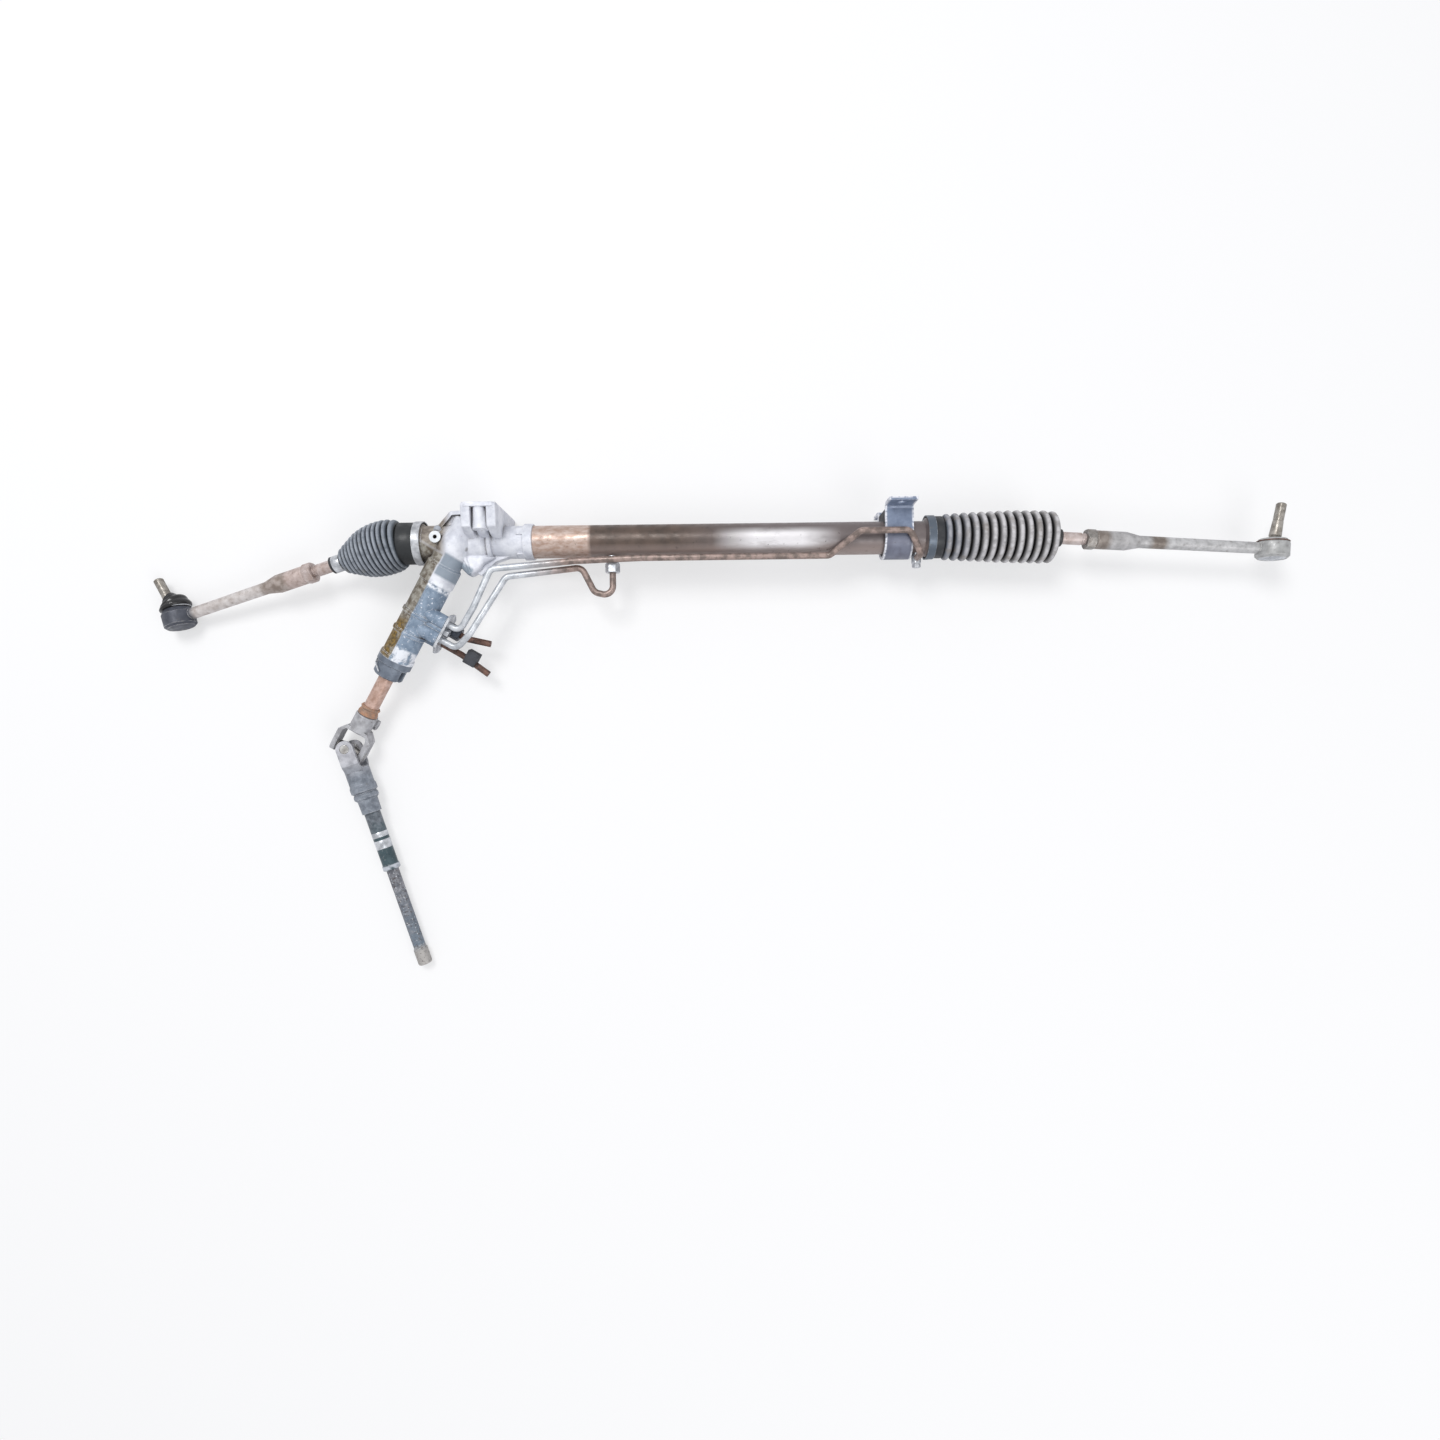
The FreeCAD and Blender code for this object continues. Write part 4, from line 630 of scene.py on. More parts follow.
FINISHES = {
    "cast_aluminium": sand_cast_aluminium(),
    "machined_cap": machined_aluminium(),
    "zinc_steel": zinc_plate(),
    "bearing_steel": ground_steel(),
    "seal_rubber": black_rubber(),
    "slipper_aluminium": machined_aluminium(),
    "plain_steel": oily_steel(),
    "ring_plastic": pale_nylon(),
    "rusted_tube": rusted_tube_steel(),
    "pipe_steel": zinc_pipe(),
    "hose_line": rusty_line(),
    "black_nut": black_oxide(),
    "strap_steel": chipped_strap_paint(),
    "left_rubber": slate_bellows_rubber(),
    "right_rubber": dusty_bellows_rubber(),
    "boot_rubber": glossy_boot_rubber(),
    "input_steel": copper_pink_steel(),
    "yoke_steel": forged_steel(),
    "shaft_paint": teal_shaft_paint(),
    "shaft_steel": rusty_grey_steel(),
    "rod_steel": pink_rod_steel(),
    "end_steel": forged_end_steel("right", RIGHT_END_BANDS),
    "stud_steel": bright_stud_steel(),
}


def paint_nodes():
    """Gives each CAD piece the finish of its slot, or its own where it looks different."""
    own = {
        "input_dust_collar": orange_collar_rubber(),
        "tube_collar": FINISHES["cast_aluminium"],
        "pipe_ports": FINISHES["zinc_steel"],
        "left_lock_nut": FINISHES["rod_steel"],
        "bellows_clamps": clamp_steel(),
        "left_closing_cap": slate_cap_steel(),
        "lower_yoke": sleeve_steel(),
        "left_outer_tie_rod_end": forged_end_steel("left", LEFT_END_BANDS),
    }
    for part in frame["record"]["subparts"]:
        node = NODES[part["node"]]
        finish = own.get(part["node"], FINISHES[part["material_slot"]])
        for place in node.material_slots:
            place.material = finish


# Repeating pieces, made by geometry nodes

def new_tree(name, sockets):
    """Geometry tree with named number inputs. Returns the tree, its input node and its output node."""
    tree = bpy.data.node_groups.new(name, "GeometryNodeTree")
    tree.interface.new_socket("Geometry", in_out="INPUT", socket_type="NodeSocketGeometry")
    for label, kind, value in sockets:
        socket = tree.interface.new_socket(label, in_out="INPUT", socket_type=kind)
        if value is not None:
            socket.default_value = value
    tree.interface.new_socket("Geometry", in_out="OUTPUT", socket_type="NodeSocketGeometry")
    return tree, add(tree, "NodeGroupInput"), add(tree, "NodeGroupOutput")


def close_tree(tree, geometry, finish, exit_node):
    real = add(tree, "GeometryNodeRealizeInstances", inputs={"Geometry": geometry})
    painted = add(tree, "GeometryNodeSetMaterial", inputs={"Geometry": real.outputs[0], "Material": finish})
    tree.links.new(painted.outputs[0], exit_node.inputs[0])


def grown(name, base, tree, values, matrix=None, shell=None):
    """Plain mesh piece that the tree makes from the base data, moved by matrix."""
    host = bpy.data.objects.new(name + "_host", base)
    bpy.context.scene.collection.objects.link(host)
    modifier = host.modifiers.new("grow", "NODES")
    modifier.node_group = tree
    for item in tree.interface.items_tree:
        if item.in_out == "INPUT" and item.name in values:
            modifier[item.identifier] = values[item.name]
    if shell:
        wall = host.modifiers.new("wall", "SOLIDIFY")
        wall.thickness = shell
        wall.offset = -1
    bpy.context.view_layer.update()
    mesh = bpy.data.meshes.new_from_object(host.evaluated_get(bpy.context.evaluated_depsgraph_get()))
    bpy.data.objects.remove(host)
    if matrix:
        mesh.transform(matrix)
    mesh.name = name
    return put_in_scene(name, mesh)


def route_curve(name, points):
    curve = bpy.data.curves.new(name, "CURVE")
    curve.dimensions = "3D"
    spline = curve.splines.new("POLY")
    spline.points.add(len(points) - 1)
    for point, place in zip(spline.points, points):
        point.co = (*place, 1.0)
    return curve


def folded_sleeve_tree(name, envelope, finish):
    """Tube round the base curve whose radius waves in folds under an envelope of (share, metres)."""
    tree, enter, leave = new_tree(name, [
        ("Folds", "NodeSocketFloat", 13.0), ("Depth", "NodeSocketFloat", 0.007),
        ("Cuff share", "NodeSocketFloat", 0.2), ("Cuff radius", "NodeSocketFloat", 0.027),
        ("Neck share", "NodeSocketFloat", 0.1), ("Neck radius", "NodeSocketFloat", 0.010),
        ("Roundness", "NodeSocketFloat", 0.7), ("Rings", "NodeSocketInt", 200),
        ("Facets", "NodeSocketInt", 96)])
    line = add(tree, "GeometryNodeResampleCurve", inputs={
        "Curve": enter.outputs["Geometry"], "Count": enter.outputs["Rings"]})
    share = add(tree, "GeometryNodeSplineParameter").outputs["Factor"]
    neck_start = add(tree, "ShaderNodeMath", {"operation": "SUBTRACT"},
                     {0: 1.0, 1: enter.outputs["Neck share"]}).outputs[0]
    folded = add(tree, "ShaderNodeMapRange", inputs={
        "Value": share, "From Min": enter.outputs["Cuff share"], "From Max": neck_start}).outputs["Result"]
    top = add(tree, "ShaderNodeFloatCurve", inputs={"Value": folded})
    outline = top.mapping.curves[0]
    largest = max(radius for _, radius in envelope)
    outline.points[0].location = (0.0, envelope[0][1] / largest)
    outline.points[1].location = (1.0, envelope[-1][1] / largest)
    for spot, radius in envelope[1:-1]:
        outline.points.new(spot, radius / largest)
    top.mapping.update()
    crest_radius = add(tree, "ShaderNodeMath", {"operation": "MULTIPLY"}, {0: top.outputs[0], 1: largest})
    turns = add(tree, "ShaderNodeMath", {"operation": "MULTIPLY"}, {0: folded, 1: enter.outputs["Folds"]})
    angle = add(tree, "ShaderNodeMath", {"operation": "MULTIPLY"}, {0: turns.outputs[0], 1: 2 * math.pi})
    swing = add(tree, "ShaderNodeMath", {"operation": "COSINE"}, {0: angle.outputs[0]})
    raised = add(tree, "ShaderNodeMapRange", inputs={
        "Value": swing.outputs[0], "From Min": 1.0, "From Max": -1.0})
    crest = add(tree, "ShaderNodeMath", {"operation": "POWER"},
                {0: raised.outputs["Result"], 1: enter.outputs["Roundness"]}).outputs[0]
    sunk = add(tree, "ShaderNodeMath", {"operation": "SUBTRACT"}, {0: 1.0, 1: crest})
    dip = add(tree, "ShaderNodeMath", {"operation": "MULTIPLY"},
              {0: sunk.outputs[0], 1: enter.outputs["Depth"]})
    wavy = add(tree, "ShaderNodeMath", {"operation": "SUBTRACT"},
               {0: crest_radius.outputs[0], 1: dip.outputs[0]})
    in_cuff = add(tree, "ShaderNodeMath", {"operation": "LESS_THAN"},
                  {0: share, 1: enter.outputs["Cuff share"]}).outputs[0]
    in_neck = add(tree, "ShaderNodeMath", {"operation": "GREATER_THAN"}, {0: share, 1: neck_start}).outputs[0]
    cuffed = add(tree, "ShaderNodeMix", {"data_type": "FLOAT"}, {
        "Factor": in_cuff, 2: wavy.outputs[0], 3: enter.outputs["Cuff radius"]}).outputs[0]
    radius = add(tree, "ShaderNodeMix", {"data_type": "FLOAT"}, {
        "Factor": in_neck, 2: cuffed, 3: enter.outputs["Neck radius"]}).outputs[0]
    either = add(tree, "ShaderNodeMath", {"operation": "ADD", "use_clamp": True}, {0: in_cuff, 1: in_neck})
    shown_crest = add(tree, "ShaderNodeMix", {"data_type": "FLOAT"}, {
        "Factor": either.outputs[0], 2: crest, 3: 0.55}).outputs[0]
    marked = add(tree, "GeometryNodeStoreNamedAttribute", {"data_type": "FLOAT", "domain": "POINT"}, {
        "Geometry": line.outputs[0], "Name": "crest", "Value": shown_crest})
    shared = add(tree, "GeometryNodeStoreNamedAttribute", {"data_type": "FLOAT", "domain": "POINT"}, {
        "Geometry": marked.outputs[0], "Name": "share", "Value": share})
    ring = add(tree, "GeometryNodeCurvePrimitiveCircle", inputs={
        "Radius": 1.0, "Resolution": enter.outputs["Facets"]})
    tube = add(tree, "GeometryNodeCurveToMesh", inputs={
        "Curve": shared.outputs[0], "Profile Curve": ring.outputs[0], "Scale": radius})
    placed = add(tree, "GeometryNodeStoreNamedAttribute", {"data_type": "FLOAT_VECTOR", "domain": "POINT"}, {
        "Geometry": tube.outputs[0], "Name": "rest_place",
        "Value": add(tree, "GeometryNodeInputPosition").outputs[0]})
    smooth = add(tree, "GeometryNodeSetShadeSmooth", inputs={"Geometry": placed.outputs[0]})
    close_tree(tree, smooth.outputs[0], finish, leave)
    return tree


def follow(piece, body_empty, start=0.0, end=1.0):
    """Hooks a sleeve to a moving body, meant to pull more the further along it a point lies."""
    group = piece.vertex_groups.new(name="pull")
    share = piece.data.attributes["share"].data
    for index in range(len(piece.data.vertices)):
        pull = min(1.0, max(0.0, (share[index].value - start) / (end - start)))
        group.add([index], pull, "REPLACE")
    bpy.context.view_layer.update()
    hook = piece.modifiers.new("pull", "HOOK")
    hook.object = body_empty
    hook.vertex_group = group.name
    hook.falloff_type = "NONE"
    hook.matrix_inverse = body_empty.matrix_world.inverted()
    return hook


def outward(mesh_piece):
    """Turns all faces of a piece outwards."""
    shape = bmesh.new()
    shape.from_mesh(mesh_piece.data)
    bmesh.ops.recalc_face_normals(shape, faces=shape.faces)
    shape.to_mesh(mesh_piece.data)
    shape.free()
    return mesh_piece


BELLOWS = {
    "left": {"mouth": -0.1135, "land": -0.083, "grip": 0.0745, "neck": 0.016, "slot": "left_rubber",
             "envelope": [(0.0, 0.0285), (0.12, 0.0325), (0.30, 0.0338), (0.55, 0.0312), (0.8, 0.0226),
                          (1.0, 0.0138)]},
    "right": {"mouth": 0.5865, "land": 0.566, "grip": 0.0345, "neck": 0.009, "slot": "right_rubber",
              "envelope": [(0.0, 0.0278), (0.10, 0.0290), (0.35, 0.0308), (0.62, 0.0324), (0.85, 0.0326),
                           (0.96, 0.0318), (1.0, 0.0285)]},
}
BELLOWS_FOLDS = 13
FOLD_DEPTH = 0.0078
CUFF_RADIUS = 0.0256
ROD_NECK_RADIUS = 0.0098
BELLOWS_WALL = 1.3 * MM
BOOT_WALL = 1.2 * MM


def bellows_route(side):
    """Line through a bellows: along the rack from its land, then turning into the tie rod."""
    data = BELLOWS[side]
    place = SIDES[side]
    land = Vector((data["land"], RACK_Y, 0))
    mouth = Vector((data["mouth"], RACK_Y, 0))
    grip = place["inner"] + place["rod"] * data["grip"]
    points = [land.lerp(mouth, i / 10) for i in range(10)]
    for i in range(61):
        t = i / 60
        points.append(mouth * (1 - t) ** 2 + place["inner"] * (2 * t * (1 - t)) + grip * t ** 2)
    points.append(grip + place["rod"] * data["neck"])
    return points


def path_length(points):
    return sum((b - a).length for a, b in zip(points, points[1:]))


def bellows_skin(side):
    """Blow-moulded bellows with its cuff on the housing and its neck on the tie rod."""
    data = BELLOWS[side]
    points = bellows_route(side)
    whole = path_length(points)
    cuff = abs(data["mouth"] - data["land"]) / whole
    neck = data["neck"] / whole
    tree = folded_sleeve_tree(side + "_bellows_tree", data["envelope"], FINISHES[data["slot"]])
    piece = grown(side + "_bellows_skin", route_curve(side + "_bellows_route", points), tree, {
        "Folds": float(BELLOWS_FOLDS), "Depth": FOLD_DEPTH, "Cuff share": cuff, "Cuff radius": CUFF_RADIUS,
        "Neck share": neck, "Neck radius": ROD_NECK_RADIUS, "Roundness": 0.6, "Rings": 230,
        "Facets": 88}, shell=-BELLOWS_WALL)
    outward(piece)
    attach(piece, "gear_housing")
    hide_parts(side + "_bellows")
    follow(piece, BODIES[side + "_tie_rod"], cuff, 1 - neck)


def boot_guide():
    """Empty at the left outer ball that leans with the stud but doesn't spin with it."""
    place = SIDES["left"]
    tip = bpy.data.objects.new("boot_tip", None)
    bpy.context.scene.collection.objects.link(tip)
    tip.location = place["outer"] + place["stud"] * 0.05
    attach(tip, "left_stud")
    guide = bpy.data.objects.new("boot_guide", None)
    bpy.context.scene.collection.objects.link(guide)
    guide.matrix_world = towards(place["outer"], place["stud"], place["rod"])
    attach(guide, "left_tie_rod")
    aim = guide.constraints.new("DAMPED_TRACK")
    aim.target = tip
    aim.track_axis = "TRACK_Z"
    bpy.context.view_layer.update()
    return guide


BOOT_FOOT = 0.0122        # heights above the outer ball
BOOT_BEND = 0.0215
BOOT_MOUTH = 0.0285
BOOT_ENVELOPE = [(0.0, 0.0168), (0.25, 0.0190), (0.5, 0.0178), (0.75, 0.0135), (1.0, 0.0100)]


def dust_boot_skin():
    """Black boot over the left outer ball, bulged under its own folds."""
    place = SIDES["left"]
    base = place["outer"] + place["up"] * BOOT_FOOT
    top = place["outer"] + place["stud"] * BOOT_MOUTH
    points = []
    for i in range(31):
        t = i / 30
        bend = place["outer"] + place["up"] * BOOT_BEND
        points.append(base * (1 - t) ** 2 + bend * (2 * t * (1 - t)) + top * t ** 2)
    tree = folded_sleeve_tree("boot_tree", BOOT_ENVELOPE, FINISHES["boot_rubber"])
    piece = grown("left_dust_boot_skin", route_curve("boot_route", points), tree, {
        "Folds": 2.5, "Depth": 0.0016, "Cuff share": 0.0, "Cuff radius": 0.0165, "Neck share": 0.12,
        "Neck radius": 0.0098, "Roundness": 0.8, "Rings": 60, "Facets": 72}, shell=-BOOT_WALL)
    outward(piece)
    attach(piece, "left_tie_rod")
    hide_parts("left_dust_boot")
    follow(piece, boot_guide(), 0.1, 0.9)


def thread_tree(finish):
    """Helical ridge of a rolled thread, standing on a bar along +Z."""
    tree, enter, leave = new_tree("thread_tree", [
        ("Turns", "NodeSocketFloat", 14.0), ("Radius", "NodeSocketFloat", 0.006),
        ("Length", "NodeSocketFloat", 0.022), ("Ridge", "NodeSocketFloat", 0.0005)])
    coil = add(tree, "GeometryNodeCurveSpiral", inputs={
        "Resolution": 28, "Rotations": enter.outputs["Turns"], "Start Radius": enter.outputs["Radius"],
        "End Radius": enter.outputs["Radius"], "Height": enter.outputs["Length"]})
    ridge = add(tree, "GeometryNodeCurvePrimitiveCircle", inputs={
        "Resolution": 5, "Radius": enter.outputs["Ridge"]})
    tube = add(tree, "GeometryNodeCurveToMesh", inputs={
        "Curve": coil.outputs[0], "Profile Curve": ridge.outputs[0], "Fill Caps": True})
    smooth = add(tree, "GeometryNodeSetShadeSmooth", inputs={"Geometry": tube.outputs[0]})
    close_tree(tree, smooth.outputs[0], finish, leave)
    return tree


def ring_tree(finish):
    """Bars set in a ring round +Z, such as splines or knurls."""
    tree, enter, leave = new_tree("ring_tree", [
        ("Count", "NodeSocketInt", 24), ("Radius", "NodeSocketFloat", 0.0085),
        ("Width", "NodeSocketFloat", 0.0007), ("Rise", "NodeSocketFloat", 0.0006),
        ("Length", "NodeSocketFloat", 0.02)])
    size = add(tree, "ShaderNodeCombineXYZ", inputs={
        "X": enter.outputs["Rise"], "Y": enter.outputs["Width"], "Z": enter.outputs["Length"]})
    bar = add(tree, "GeometryNodeMeshCube", inputs={"Size": size.outputs[0]})
    circle = add(tree, "GeometryNodeMeshCircle", inputs={
        "Vertices": enter.outputs["Count"], "Radius": enter.outputs["Radius"]})
    outwards = add(tree, "FunctionNodeAlignRotationToVector", {"axis": "X"}, {
        "Vector": add(tree, "GeometryNodeInputPosition").outputs[0]})
    spread = add(tree, "GeometryNodeInstanceOnPoints", inputs={
        "Points": circle.outputs[0], "Instance": bar.outputs[0], "Rotation": outwards.outputs[0]})
    close_tree(tree, spread.outputs[0], finish, leave)
    return tree


def empty_mesh(name):
    return bpy.data.meshes.new(name)


THREADS = thread_tree(FINISHES["stud_steel"])
ROD_THREADS = thread_tree(FINISHES["rod_steel"])
STUD_THREAD = {"start": 0.0368, "length": 0.0222, "radius": 0.0059, "pitch": 0.00125,
               "ridge": 0.00042}
ROD_THREAD_RADIUS = 0.0069
LOCK_NUT_LENGTH = 0.012
ROD_THREAD_SHOWN = 0.0045
END_LENGTH = {"left": 0.190, "right": 0.232}


def stud_threads():
    """Rolled thread on the end of each ball stud."""
    for side, place in SIDES.items():
        start = place["outer"] + place["stud"] * STUD_THREAD["start"]
        piece = grown(side + "_stud_thread", empty_mesh(side + "_thread"), THREADS, {
            "Turns": STUD_THREAD["length"] / STUD_THREAD["pitch"], "Radius": STUD_THREAD["radius"],
            "Length": STUD_THREAD["length"], "Ridge": STUD_THREAD["ridge"]},
            towards(start, place["stud"], place["rod"]))
        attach(piece, side + "_stud")


def tie_rod_threads():
    """The few turns of each tie rod's thread that show behind its lock nut."""
    for side, place in SIDES.items():
        reach = (place["outer"] - place["inner"]).length
        back = reach - END_LENGTH[side] - LOCK_NUT_LENGTH - ROD_THREAD_SHOWN
        start = place["inner"] + place["rod"] * back
        piece = grown(side + "_rod_thread", empty_mesh(side + "_rod_thread"), ROD_THREADS, {
            "Turns": 3.2, "Radius": ROD_THREAD_RADIUS, "Length": ROD_THREAD_SHOWN, "Ridge": 0.0005},
            towards(start, place["rod"]))
        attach(piece, side + "_tie_rod")


SHAFT_END = 0.307         # from the joint's centre
SPLINE_LENGTH = 0.022
SPLINE_COUNT = 36


def shaft_splines():
    """Splines on the sliding shaft's far end."""
    middle = JOINT_CENTRE + SHAFT_AXIS * (SHAFT_END - SPLINE_LENGTH / 2 - 0.001)
    piece = grown("shaft_splines", empty_mesh("shaft_splines"), ring_tree(FINISHES["shaft_steel"]), {
        "Count": SPLINE_COUNT, "Radius": 0.0088, "Width": 0.0008, "Rise": 0.0008,
        "Length": SPLINE_LENGTH - 0.002}, towards(middle, SHAFT_AXIS))
    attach(piece, "sliding_shaft")


def turned(name, outline, matrix, finish, facets=72):
    """Closed ring turned about local Z from (radius, height) points."""
    verts = []
    faces = []
    count = len(outline)
    for step in range(facets):
        angle = 2 * math.pi * step / facets
        for radius, height in outline:
            verts.append((radius * math.cos(angle), radius * math.sin(angle), height))
    for step in range(facets):
        for index in range(count):
            here = step * count
            on = (step + 1) % facets * count
            after = (index + 1) % count
            faces.append((here + index, on + index, on + after, here + after))
    mesh = bpy.data.meshes.new(name)
    mesh.from_pydata(verts, [], faces)
    mesh.transform(matrix)
    mesh.materials.append(finish)
    piece = outward(put_in_scene(name, mesh))
    for face in piece.data.polygons:
        face.use_smooth = True
    edge = piece.modifiers.new("edge", "BEVEL")
    edge.width = 0.0003
    edge.segments = 2
    edge.limit_method = "ANGLE"
    return piece


def slab(name, outline, depth, matrix, finish, round_off):
    """Plate of the outline's shape, depth thick along local Z, with its edges rounded off."""
    count = len(outline)
    verts = [(x, y, z) for z in (0, depth) for x, y in outline]
    faces = [tuple(range(count)), tuple(range(count, 2 * count))]
    for i in range(count):
        j = (i + 1) % count
        faces.append((i, j, j + count, i + count))
    mesh = bpy.data.meshes.new(name)
    mesh.from_pydata(verts, [], faces)
    mesh.transform(matrix)
    mesh.materials.append(finish)
    piece = outward(put_in_scene(name, mesh))
    for face in piece.data.polygons:
        face.use_smooth = True
    edge = piece.modifiers.new("edge", "BEVEL")
    edge.width = round_off
    edge.segments = 5
    edge.limit_method = "ANGLE"
    even = piece.modifiers.new("even", "WEIGHTED_NORMAL")
    even.keep_sharp = True
    return piece


# Outline in Y and Z; start, end and rounding along X
EAR_OUTLINE = [(-0.0012, 0.010), (-0.0012, 0.0556), (-0.0300, 0.0518), (-0.0372, 0.0312),
               (-0.0394, 0.0185), (-0.0230, 0.0170)]
EAR_COLUMNS = {
    "ear_left_column": (-0.0219, -0.0104, 0.0012),
    "ear_middle_column": (-0.0074, 0.0066, 0.0060),
    "ear_right_column": (0.0096, 0.0219, 0.0018),
}


def ear_columns():
    """The three cast columns that show on the ear's upper side."""
    for name, (start, end, round_off) in EAR_COLUMNS.items():
        sideways = Matrix(((0, 0, 1, start), (1, 0, 0, 0), (0, 1, 0, 0), (0, 0, 0, 1)))
        piece = slab(name, EAR_OUTLINE, end - start, sideways, FINISHES["cast_aluminium"], round_off)
        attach(piece, "gear_housing")


SHOULDER_OUTLINE = [(-0.034, -0.0560), (-0.008, -0.0560), (0.013, -0.0605), (-0.003, -0.0690),
                    (-0.0085, -0.0765), (-0.0225, -0.0860), (-0.036, -0.072)]
SHOULDER_FOOT = -0.006
SHOULDER_DEPTH = 0.021
SHOULDER_ROUNDING = 0.0052


def cast_shoulder():
    """Thick web of the casting in the corner between valve tower and spout."""
    piece = slab("cast_shoulder", SHOULDER_OUTLINE, SHOULDER_DEPTH, Matrix.Translation((0, 0, SHOULDER_FOOT)),
                 FINISHES["cast_aluminium"], SHOULDER_ROUNDING)
    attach(piece, "gear_housing")


def bead_tree(finish):
    """Round bead laid along the base curve, such as a parting line or a small cast rib."""
    tree, enter, leave = new_tree("bead_tree", [("Radius", "NodeSocketFloat", 0.001)])
    ring = add(tree, "GeometryNodeCurvePrimitiveCircle", inputs={
        "Radius": enter.outputs["Radius"], "Resolution": 12})
    bead = add(tree, "GeometryNodeCurveToMesh", inputs={
        "Curve": enter.outputs["Geometry"], "Profile Curve": ring.outputs[0], "Fill Caps": True})
    smooth = add(tree, "GeometryNodeSetShadeSmooth", inputs={"Geometry": bead.outputs[0]})
    close_tree(tree, smooth.outputs[0], finish, leave)
    return tree


TOWER_RADIUS = 0.021
PARTING_SPAN = (0.062, 0.166)
DIAGONAL_RIB = [(-0.0300, -0.0540, 0.0170), (-0.0270, -0.0640, 0.0160), (-0.0235, -0.0740, 0.0150),
                (-0.0215, -0.0810, 0.0130)]


def cast_beads():
    """Parting line down the valve tower and the diagonal rib beside it."""
    tree = bead_tree(FINISHES["cast_aluminium"])
    above = (Vector((0, 0, 1)) - TOWER_AXIS * TOWER_AXIS.z).normalized()
    start, end = PARTING_SPAN
    top = TOWER_TOP + above * (TOWER_RADIUS - 0.1 * MM)
    line = [top + TOWER_AXIS * (start + (end - start) * i / 8) for i in range(9)]
    for name, points, radius in (("parting_line", line, 0.9 * MM), ("diagonal_rib", DIAGONAL_RIB, 2.2 * MM)):
        piece = grown(name, route_curve(name + "_route", points), tree, {"Radius": radius})
        outward(piece)
        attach(piece, "gear_housing")


def wire_ring(name, centre, axis, radius, wire, finish, body):
    """Round wire snap ring."""
    outline = [(radius + wire * math.cos(a), wire * math.sin(a))
               for a in [2 * math.pi * i / 10 for i in range(10)]]
    piece = turned(name, outline, towards(centre, axis, Vector((1, 0.3, 0.2))), finish)
    piece.modifiers.clear()
    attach(piece, body)


SMALL_CLIP_START = 0.0765   # from the inner ball
SMALL_CLIP_BAND = [(0.0100, 0), (0.0112, 0), (0.0112, 0.011), (0.0100, 0.011)]


def left_small_clip():
    """Spring band that grips the left bellows' neck on the tie rod."""
    place = SIDES["left"]
    start = place["inner"] + place["rod"] * SMALL_CLIP_START
    piece = turned("left_small_clip", SMALL_CLIP_BAND, towards(start, place["rod"]), FINISHES["zinc_steel"])
    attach(piece, "left_tie_rod")


def outer_joint_rings():
    """Wire round the left boot's foot, and the empty groove of the right one."""
    left = SIDES["left"]
    wire_ring("left_boot_ring", left["outer"] + left["up"] * 0.0136, left["up"], 0.0176, 0.0007,
              FINISHES["zinc_steel"], "left_tie_rod")
    right = SIDES["right"]
    wire_ring("right_groove_ring", right["outer"] + right["up"] * 0.0088, right["up"], 0.0189, 0.0008,
              FINISHES["hose_line"], "right_tie_rod")


SHAFT_TUBE_RADIUS = 0.0104
FOIL_RADIUS = 0.01062
FOIL_BANDS = ((0.118, 0.007), (0.129, 0.012))      # start from the joint's centre, and width


def shaft_bands():
    """Bare foil bands round the shaft tube, where its labels were."""
    foil = FINISHES["zinc_steel"]
    for index, (start, length) in enumerate(FOIL_BANDS):
        band = [(SHAFT_TUBE_RADIUS, 0), (FOIL_RADIUS, 0), (FOIL_RADIUS, length), (SHAFT_TUBE_RADIUS, length)]
        piece = turned(f"shaft_foil_band_{index + 1}", band,
                       towards(JOINT_CENTRE + SHAFT_AXIS * start, SHAFT_AXIS), foil)
        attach(piece, "lower_shaft")


# Stage

FLOOR_REACH = 6.0
FLOOR_GAP = 0.0004        # keeps the floor just below the lowest skin


def floor():
    corners = [(-FLOOR_REACH, -FLOOR_REACH), (FLOOR_REACH, -FLOOR_REACH), (FLOOR_REACH, FLOOR_REACH),
               (-FLOOR_REACH, FLOOR_REACH)]
    mesh = bpy.data.meshes.new("floor")
    mesh.from_pydata([(x, y, FLOOR_Z - FLOOR_GAP) for x, y in corners], [], [(0, 1, 2, 3)])
    mesh.materials.append(pale_floor())
    put_in_scene("floor", mesh)


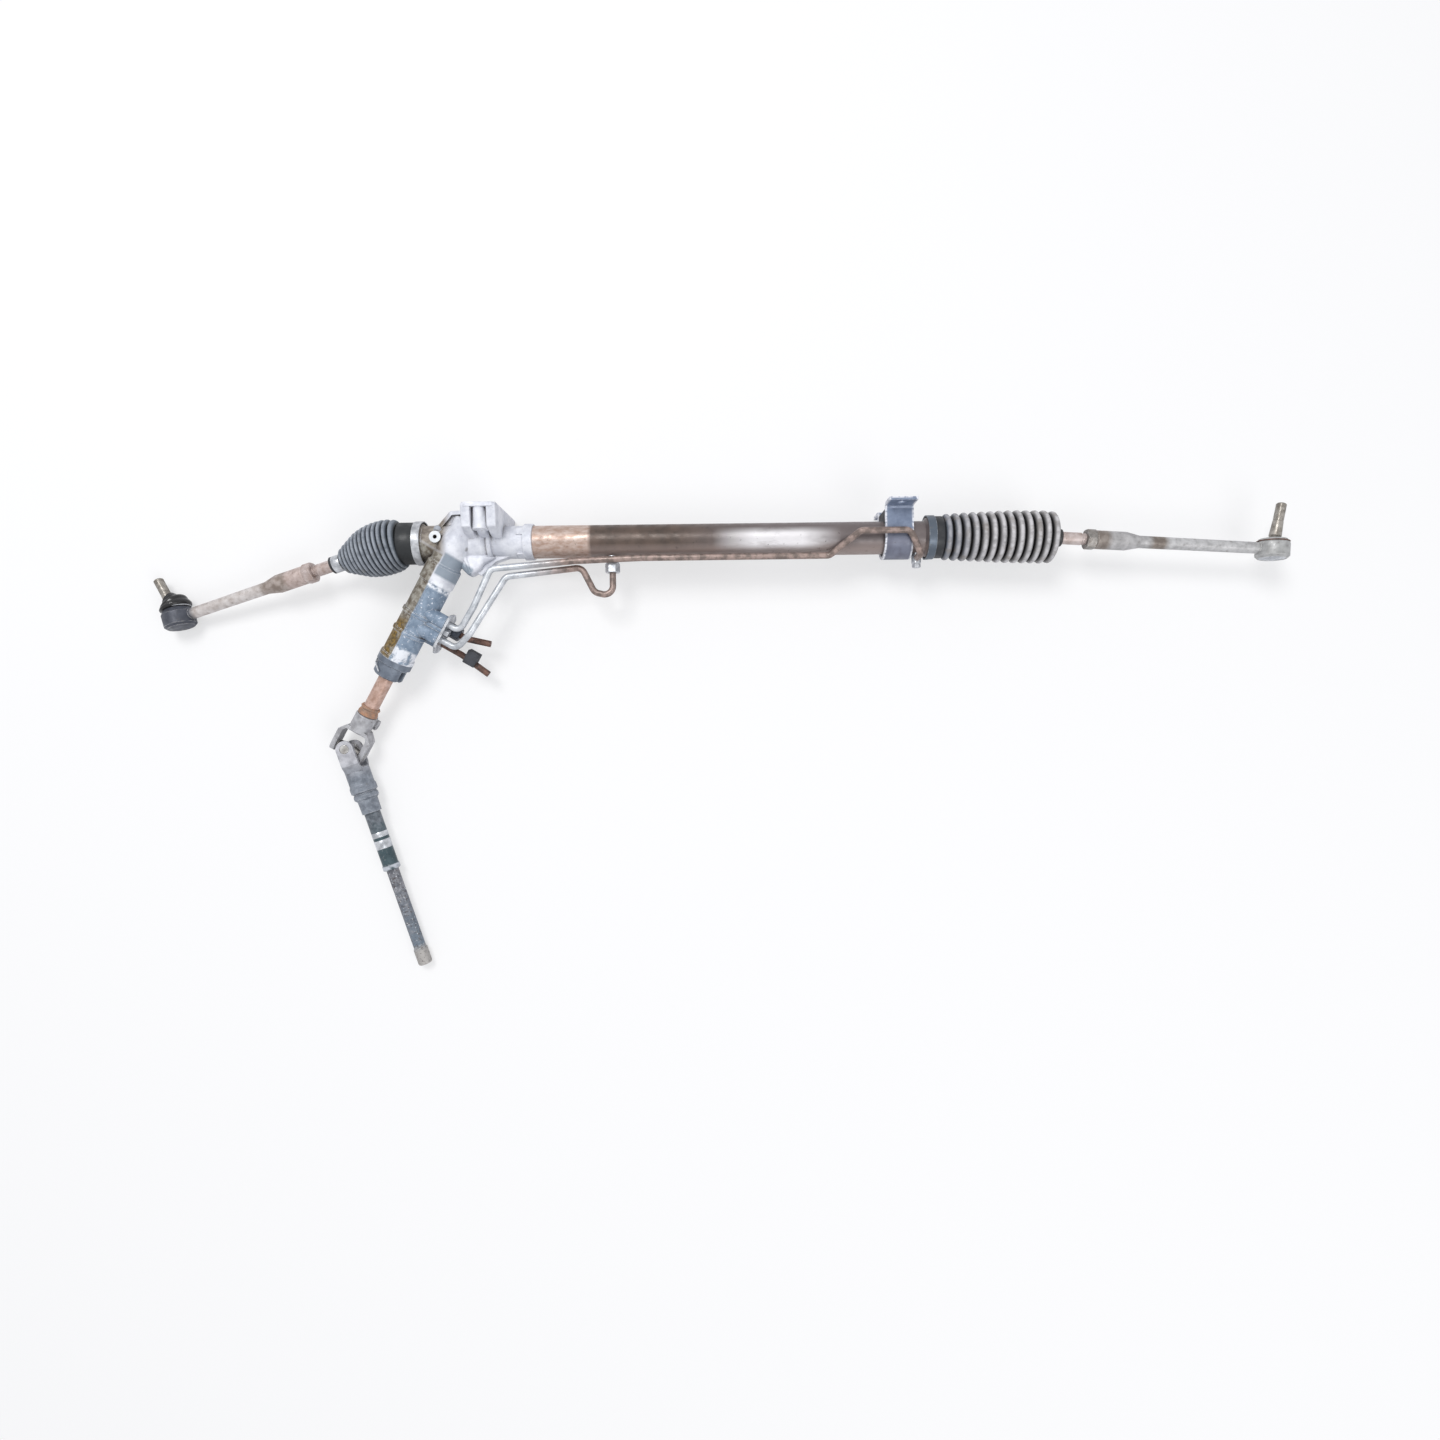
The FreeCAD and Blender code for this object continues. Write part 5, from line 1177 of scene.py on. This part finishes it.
def soft_lamp(name, spot, aim, size, watts):
    lamp = bpy.data.lights.new(name, "AREA")
    lamp.shape = "DISK"
    lamp.size = size
    lamp.energy = watts
    piece = bpy.data.objects.new(name, lamp)
    bpy.context.scene.collection.objects.link(piece)
    piece.matrix_world = towards(Vector(spot), Vector(spot) - Vector(aim), Vector((0, 1, 0.1)))


GLOSSY_SHARE = 0.8        # how much of the white sky the metal mirrors


def world_light():
    """Even pale sky that lights the part and shows white behind it and in its metal."""
    world = bpy.data.worlds.new("studio")
    bpy.context.scene.world = world
    world.use_nodes = True
    tree = world.node_tree
    tree.nodes.clear()
    light = add(tree, "ShaderNodeBackground", inputs={"Color": (0.9, 0.93, 1.0, 1.0), "Strength": 0.55})
    seen = add(tree, "ShaderNodeBackground", inputs={"Color": (1.0, 1.0, 1.0, 1.0), "Strength": 1.0})
    ray = add(tree, "ShaderNodeLightPath")
    direct = either_of(tree, ray.outputs["Is Camera Ray"], ray.outputs["Is Transmission Ray"])
    either = either_of(tree, direct, overlap(tree, ray.outputs["Is Glossy Ray"], GLOSSY_SHARE))
    both = add(tree, "ShaderNodeMixShader", inputs={0: either, 1: light.outputs[0], 2: seen.outputs[0]})
    add(tree, "ShaderNodeOutputWorld", inputs={"Surface": both.outputs[0]})


def camera():
    """Camera straight above, where the photograph was taken from."""
    eye = bpy.data.cameras.new("camera")
    eye.sensor_width = 36.0
    eye.sensor_fit = "HORIZONTAL"
    eye.lens = 36.0 * CAMERA_HEIGHT / PHOTO_WIDTH_AT_RACK
    piece = bpy.data.objects.new("camera", eye)
    bpy.context.scene.collection.objects.link(piece)
    piece.location = (*CAMERA_OVER, CAMERA_HEIGHT)
    piece.rotation_euler = (0, 0, CAMERA_ROLL)
    bpy.context.scene.camera = piece


camera()
world_light()
soft_lamp("key_lamp", (-0.7, 1.3, 3.2), (0.25, -0.1, 0), 1.5, 68)
soft_lamp("fill_lamp", (1.7, -1.8, 2.6), (0.3, -0.1, 0), 2.0, 30)
floor()
paint_nodes()
for side in SIDES:
    bellows_skin(side)
dust_boot_skin()
stud_threads()
tie_rod_threads()
shaft_splines()
left_small_clip()
outer_joint_rings()
shaft_bands()
ear_columns()
cast_shoulder()
cast_beads()

bpy.context.scene.view_settings.view_transform = "Standard"
bpy.context.view_layer.update()
